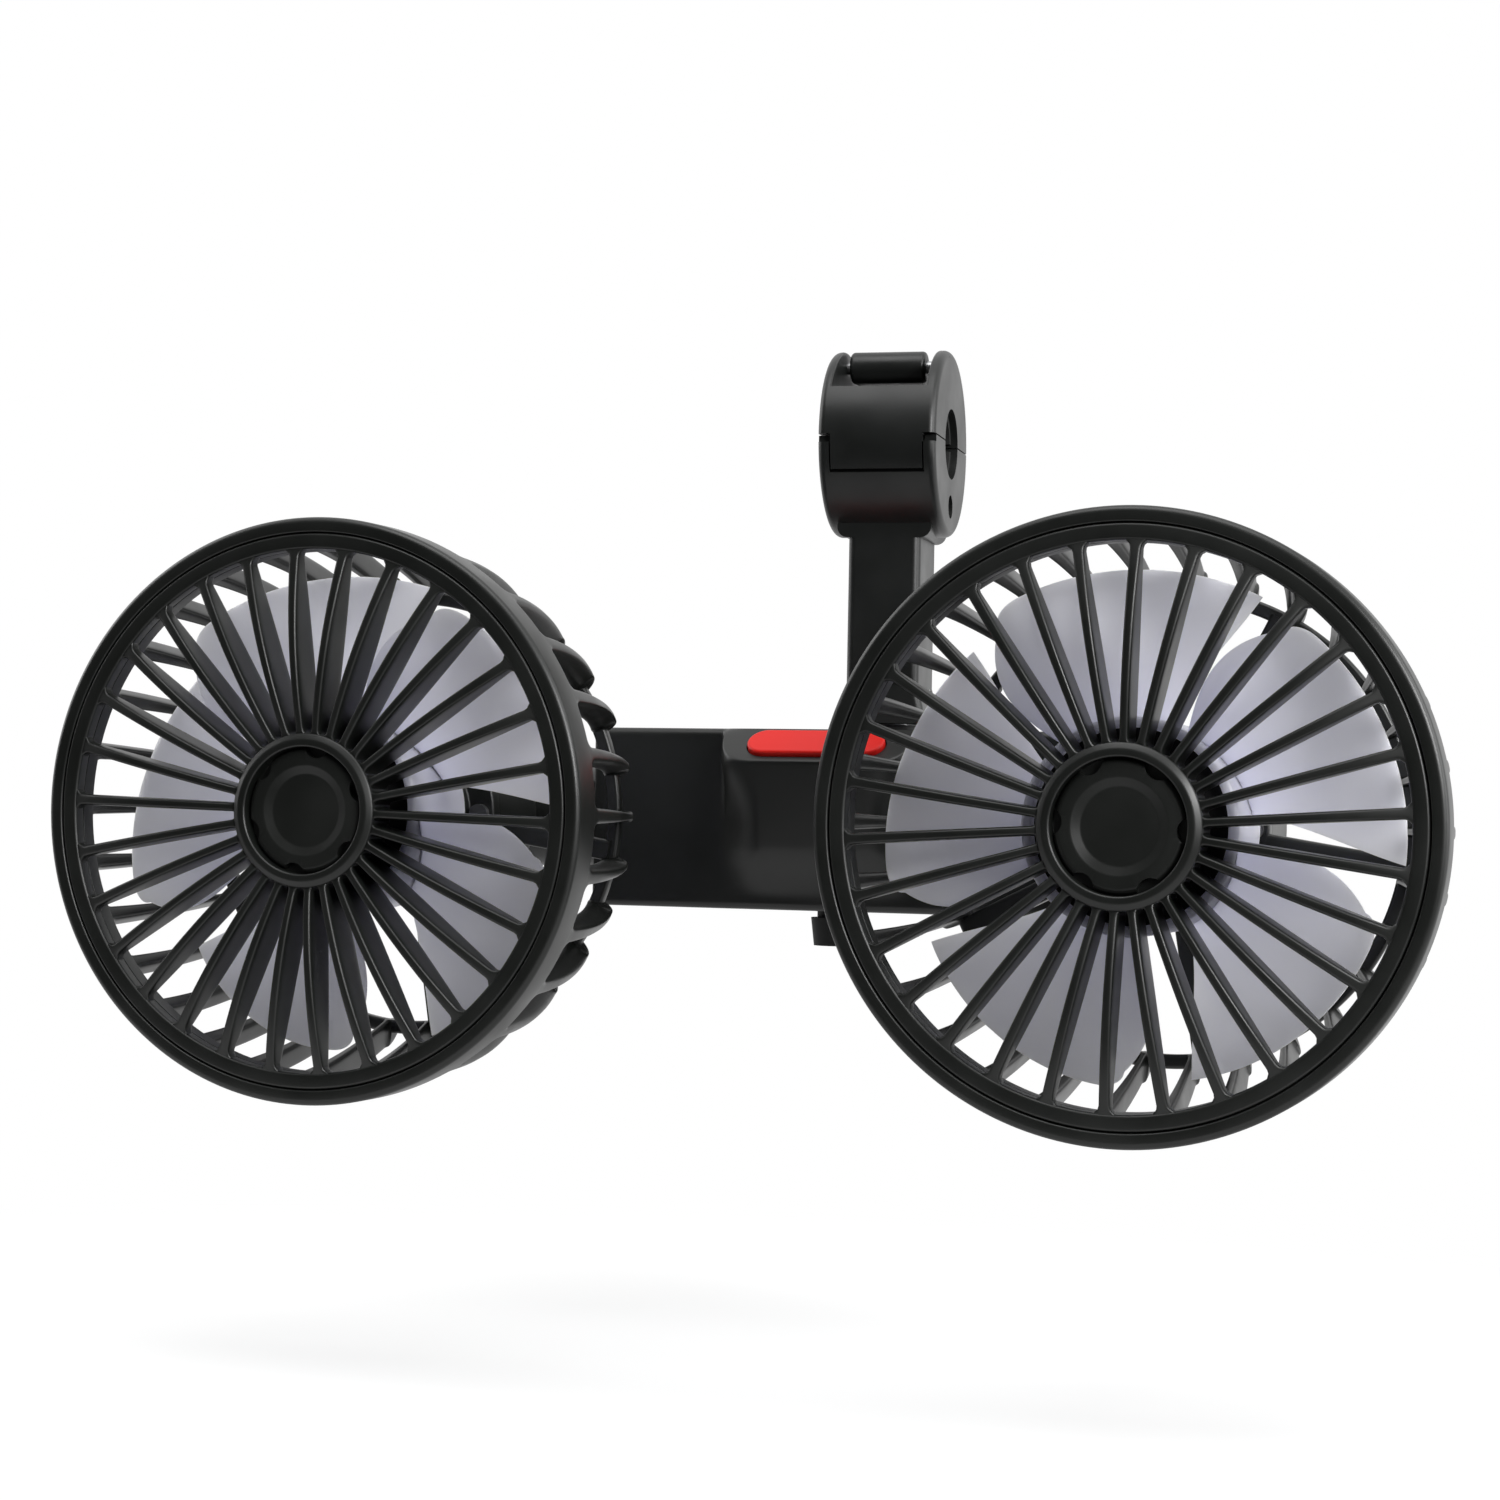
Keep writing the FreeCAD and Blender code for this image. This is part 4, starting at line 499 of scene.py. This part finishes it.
# %% Rims, rings and fins of the rear cages
BAND_END, RING_FRONT, CAGE_END = 8.6, 48.6, 51.3
RING_INSIDE, PLATE_EDGE = 43.8, 19.0
GAP_ROUND, RING_ROUND, RING_SWELL = 2.6, 1.0, 0.6
ROOT_HALF, TIP_HALF = 1.7, 0.6
TAIL_START, TAIL_LENGTH, TAIL_DROP = 49.0, 3.65, 3.4
FIN_OUTER = [(6.5, 57.4), (28.9, 55.1), (48.7, 49.7)]
FIN_INNER = [(9.0, 52.9), (28.9, 49.7), (RING_FRONT, RING_INSIDE)]
RIM = rounded([(54.45, 0.0, 0.45), (57.48, 0.0, 1.3), (57.48, BAND_END, 0.7), (52.9, BAND_END, 0.7),
               (RING_EDGE, 6.5, 0.3), (RING_EDGE, 3.0, 0.1), (54.45, 3.0, 0.1)])
REAR_RING = rounded([(RING_INSIDE, RING_FRONT, 0.7), (46.6, RING_FRONT, 0.7), (46.6, CAGE_END, 0.9),
                     (RING_INSIDE, CAGE_END, 0.7)])
MOTOR_CUP = rounded([(12.3, 37.3, 0.3), (13.5, 37.3, 0.4), (13.5, 47.8, 0.5), (PLATE_EDGE, 47.8, 0.6),
                     (PLATE_EDGE, CAGE_END, 0.2), (12.3, CAGE_END, 0.2)])


def fin():
    """Rows run rearwards. Radius outside and inside follow two bowed curves, and the outside ends in a quarter
    round. The half width falls from the root to the tip and swells into the rim and the rear ring."""
    depth = np.concatenate([np.linspace(7.4, 14.0, 22), np.linspace(15.0, 47.0, 24),
                            np.linspace(47.4, 52.6, 20)])
    tail = np.clip((depth - TAIL_START) / TAIL_LENGTH, 0, 1)
    outer = through(FIN_OUTER, depth) - TAIL_DROP * (1 - np.sqrt(1 - tail ** 2))
    inner = np.maximum(through(FIN_INNER, depth), RING_INSIDE + 0.05)
    half = np.interp(depth, [BAND_END, RING_FRONT], [ROOT_HALF, TIP_HALF])
    half = half + swell(np.maximum(depth - BAND_END, 0), GAP_ROUND)
    half = half + RING_SWELL * swell(np.maximum(RING_FRONT - depth, 0), RING_ROUND)
    across, along = loop(28, 4.0)
    radius = (outer + inner)[:, None] / 2 + (outer - inner)[:, None] / 2 * along
    return np.stack([radius, np.broadcast_to(depth[:, None], radius.shape), half[:, None] * across], -1)


print("a fin is", 2 * ROOT_HALF, "mm wide at its root and", 2 * TIP_HALF, "mm at its tip")

# %% Arms, and the whole rear cages
ARMS, ARM_TURN = 5, -9
ARM_IN, ARM_OUT, ARM_DEPTH = 17.2, 45.2, 49.55
ARM_HALF_DEPTH, ARM_HALF_WIDTH = 1.72, 2.1


def spider_arm():
    """A straight bar from the motor plate to the rear ring, with a soft rectangular section."""
    out = np.linspace(ARM_IN, ARM_OUT, 8)[:, None]
    across, along = loop(24, 6.0)
    return np.stack(np.broadcast_arrays(out, ARM_DEPTH + ARM_HALF_DEPTH * along, ARM_HALF_WIDTH * across), -1)


for side, offset in HEADS.items():
    fins, arms = spin(fin(), SPOKES, 0), spin(spider_arm(), ARMS, ARM_TURN)
    make(side + "_cage", [lathe(RIM, 240), lathe(REAR_RING, 200), lathe(MOTOR_CUP), tubes(fins), tubes(arms)],
         offset, side + "_head", "cage_abs", side + "_rear_cage")

# %% [markdown]
# The rotor is moulded in milky polypropylene: a hub ring, pressed on a black core, and five broad blades on a helix.
# Each blade is a surface of two parameters, radius and angle, with a front and a back that close round its edges.
# Seen from the front, the leading corner is rounded and lies nearest; the trailing corner is sharp.

# %% Rotors
BLADES = 5
BLADE_TURN = {"left": 31.0, "right": 22.5}
BLADE_ROOT, BLADE_TIP, BLADE_SHOULDER = 18.7, 47.45, 44.5
BROW, CORNER = 30.5, 24.0
HELIX_MM_PER_DEGREE, BLADE_MIDDLE, BLADE_WALL = 16.0 / 60.0, 19.3, 1.5
LEADING = [(19.0, 36.0), (33.25, 40.0), (BLADE_SHOULDER, BROW)]
TRAILING = [(19.0, -14.0), (33.25, -24.7), (BLADE_TIP, -30.0)]
ROTOR_HUB = rounded([(18.0, 7.8, 0.5), (20.0, 7.8, 0.8), (20.0, 31.4, 0.5), (18.0, 31.4, 0.5)])


def blade():
    """Rows run outwards. At each radius the angle runs from the trailing to the leading edge along the front
    and back along the rear; depth is the helix, plus or minus half a wall that thins to a round edge."""
    share = np.sin(np.linspace(0, math.pi / 2, 48))
    out = BLADE_ROOT + (BLADE_TIP - BLADE_ROOT) * share
    corner = np.clip((out - BLADE_SHOULDER) / (BLADE_TIP - BLADE_SHOULDER), 0, 1)
    edge = through(LEADING, np.minimum(out, BLADE_SHOULDER))
    lead = edge - (BROW - CORNER) * (1 - np.sqrt(1 - corner ** 2))
    trail = through(TRAILING, out)
    across, along = loop(96, 3.0)
    angle = (trail + lead)[:, None] / 2 + (lead - trail)[:, None] / 2 * across
    depth = BLADE_MIDDLE - HELIX_MM_PER_DEGREE * angle + BLADE_WALL / 2 * along
    turn = np.radians(angle)
    return np.stack([out[:, None] * np.cos(turn), depth, out[:, None] * np.sin(turn)], -1)


for side, offset in HEADS.items():
    blades = spin(blade(), BLADES, BLADE_TURN[side])
    make(side + "_fan_wheel", [lathe(ROTOR_HUB), tubes(blades)], offset, side + "_fan", "blade_pp",
         side + "_rotor")

# %% [markdown]
# The front half of the bar carries the switch. It is one soft form: a nose grows out of the flat bar, its top is cut
# by a slope for the button, and its chin runs back into the bar. Such a form is easiest as a height above the bar's
# face, given for each place along the bar and each drop below its top.

# %% Height of the nose
NOSE, NOSE_TAPER, SLOPE_DROP = 9.5, 0.22, 7.0
NOSE_SIDE, NOSE_FLAT, NOSE_ROOT, FLANK_POWER = 21.45, 13.0, 1.5, 2.5
BROW_END, WAVE_FROM, WAVE_TO = 20.0, 11.5, 24.0
CHIN_FROM, CHIN_TO, BROW_SOFT = 25.0, 37.0, 0.45


def wane(value, start, end):
    """Falls from 1 at start to 0 at end along half a cosine wave."""
    return 0.5 + 0.5 * np.cos(math.pi * np.clip((value - start) / (end - start), 0, 1))


def flank(x):
    """Plan of the nose at its brow, as a share of its height: a superellipse with a small round root."""
    share = np.clip((np.abs(x) - NOSE_FLAT) / (NOSE_SIDE - NOSE_FLAT), 0, 1)
    away = np.clip(NOSE_SIDE + NOSE_ROOT - np.abs(x), 0, NOSE_ROOT)
    root = NOSE_ROOT - np.sqrt(NOSE_ROOT ** 2 - away ** 2)
    return np.maximum((1 - share ** FLANK_POWER) ** (1 / FLANK_POWER), root / NOSE)


def nose_height(x, drop):
    """Height above the bar's face. It is the lower of the slope and the nose, softened where they meet: their
    mean, less half the root of their difference squared plus a small square. The nose has its brow's plan at
    the slope, turns into a soft wave below it, and loses height evenly on the way down."""
    brow = wane(drop, SLOPE_DROP, BROW_END)
    plan = brow * flank(x) + (1 - brow) * wane(np.abs(x), WAVE_FROM, WAVE_TO)
    nose = NOSE - NOSE_TAPER * np.maximum(drop - SLOPE_DROP, 0)
    nose = nose * plan * wane(drop, CHIN_FROM, CHIN_TO)
    slope = NOSE * drop / SLOPE_DROP
    return 0.5 * (nose + slope - np.sqrt((nose - slope) ** 2 + (BROW_SOFT * plan) ** 2))


print("the nose is", nose_height(0.0, 10.0).round(2), "mm high 10 mm below the top of the bar")

# %% Rows and columns of the bar's front
BAR_CENTRE = np.array([-10.8, 0.0, -80.8])
HALF_LENGTH, HALF_HEIGHT, FACE = 52.0, 19.25, -12.5
EDGE_ROUND, END_ROUND, BORE = 1.6, 1.0, 7.1
HOLE_STRAIGHT, HOLE_RADIUS, WALL = 10.9, 4.4, 2.2
SLOPE_LENGTH = math.hypot(NOSE, SLOPE_DROP)
SLOPE_ROWS_END = 10.0
QUARTER = np.linspace(0, math.pi / 2, 12)


def bar_columns():
    """Places along the bar, mirrored about its middle: even over the hole's straight part, by sines round its
    end and the bar's end, and close together on the nose's flank."""
    half = np.concatenate([np.linspace(0, HOLE_STRAIGHT, 6), HOLE_STRAIGHT + HOLE_RADIUS * np.sin(QUARTER[1:]),
                           np.linspace(15.5, 20.3, 20), np.linspace(20.4, 23.0, 40),
                           np.linspace(23.3, 48.0, 14),
                           HALF_LENGTH - END_ROUND + END_ROUND * np.sin(QUARTER[::2])])
    return np.concatenate([-half[:0:-1], half])


def bar_rows(x, hole):
    """Drop of each row below the bar's top, and how deep it is sunk into the slope. Rows above and below the
    hole part round it; two more rows at its rim are sunk by a wall, which gives the hole its depth."""
    part = hole * SLOPE_DROP / SLOPE_LENGTH
    rim = SLOPE_DROP / 2 + part
    upper = (1 - np.cos(QUARTER))[:, None] * (SLOPE_DROP / 2 - part)
    lower = rim + np.linspace(0, 1, 18)[:, None] * (SLOPE_ROWS_END - rim)
    front = np.linspace(SLOPE_ROWS_END, 2 * HALF_HEIGHT - EDGE_ROUND, 30)[1:, None] + 0 * x
    foot = 2 * HALF_HEIGHT - EDGE_ROUND * (1 - np.sin(QUARTER[1:]))[:, None] + 0 * x
    drop = np.concatenate([upper, upper[-1:], lower[:1], lower, front, foot])
    sunk = np.zeros(drop.shape)
    sunk[len(upper):len(upper) + 2] = WALL * (hole > 0)
    return drop, sunk


print(len(bar_columns()), "columns along the bar")

# %% Front of the bar
def bar_front():
    """Rows run from the seam over the top edge, down the front and under to the seam; columns run along the
    bar. The edges are quarter rounds, and each end closes on the bore of the neck's trunnion."""
    x = bar_columns()
    hole = np.sqrt(np.maximum(HOLE_RADIUS ** 2 - np.maximum(np.abs(x) - HOLE_STRAIGHT, 0) ** 2, 0))
    drop, sunk = bar_rows(x, hole)
    near_edge = np.clip(EDGE_ROUND - np.minimum(drop, 2 * HALF_HEIGHT - drop), 0, EDGE_ROUND)
    edge = EDGE_ROUND - np.sqrt(EDGE_ROUND ** 2 - near_edge ** 2)
    edge = edge * np.where(drop < HALF_HEIGHT, 1 - flank(x), 1)
    y = FACE + edge - nose_height(x, drop) + sunk * SLOPE_DROP / SLOPE_LENGTH
    z = HALF_HEIGHT - drop - sunk * NOSE / SLOPE_LENGTH
    seam = np.full((1, len(x)), HALF_HEIGHT)
    y, z = np.concatenate([0 * seam, y, 0 * seam]), np.concatenate([seam, z, -seam])
    inset = swell(HALF_LENGTH - np.abs(x), END_ROUND)
    y, z = y * (1 + inset / FACE), z * (1 - inset / HALF_HEIGHT)
    x = np.pad(x, 1, mode="edge")
    z = np.pad(z, ((0, 0), (1, 1)), mode="edge")
    y = np.pad(y, ((0, 0), (1, 1)))
    y[:, [0, -1]] = -np.sqrt(np.maximum(BORE ** 2 - z[:, [0, -1]] ** 2, 0))
    grid = cells(len(y), len(x), False, False).reshape(len(y) - 1, len(x) - 1, 4)
    points = np.stack([np.broadcast_to(x, y.shape), y, z], -1)
    between_rims = len(QUARTER) + 1
    return points.reshape(-1, 3), np.delete(grid, between_rims, 0).reshape(-1, 4)


make("bar_front", [bar_front()], BAR_CENTRE, "fan_body", "body_abs", "front_shell", sharp=50.0)
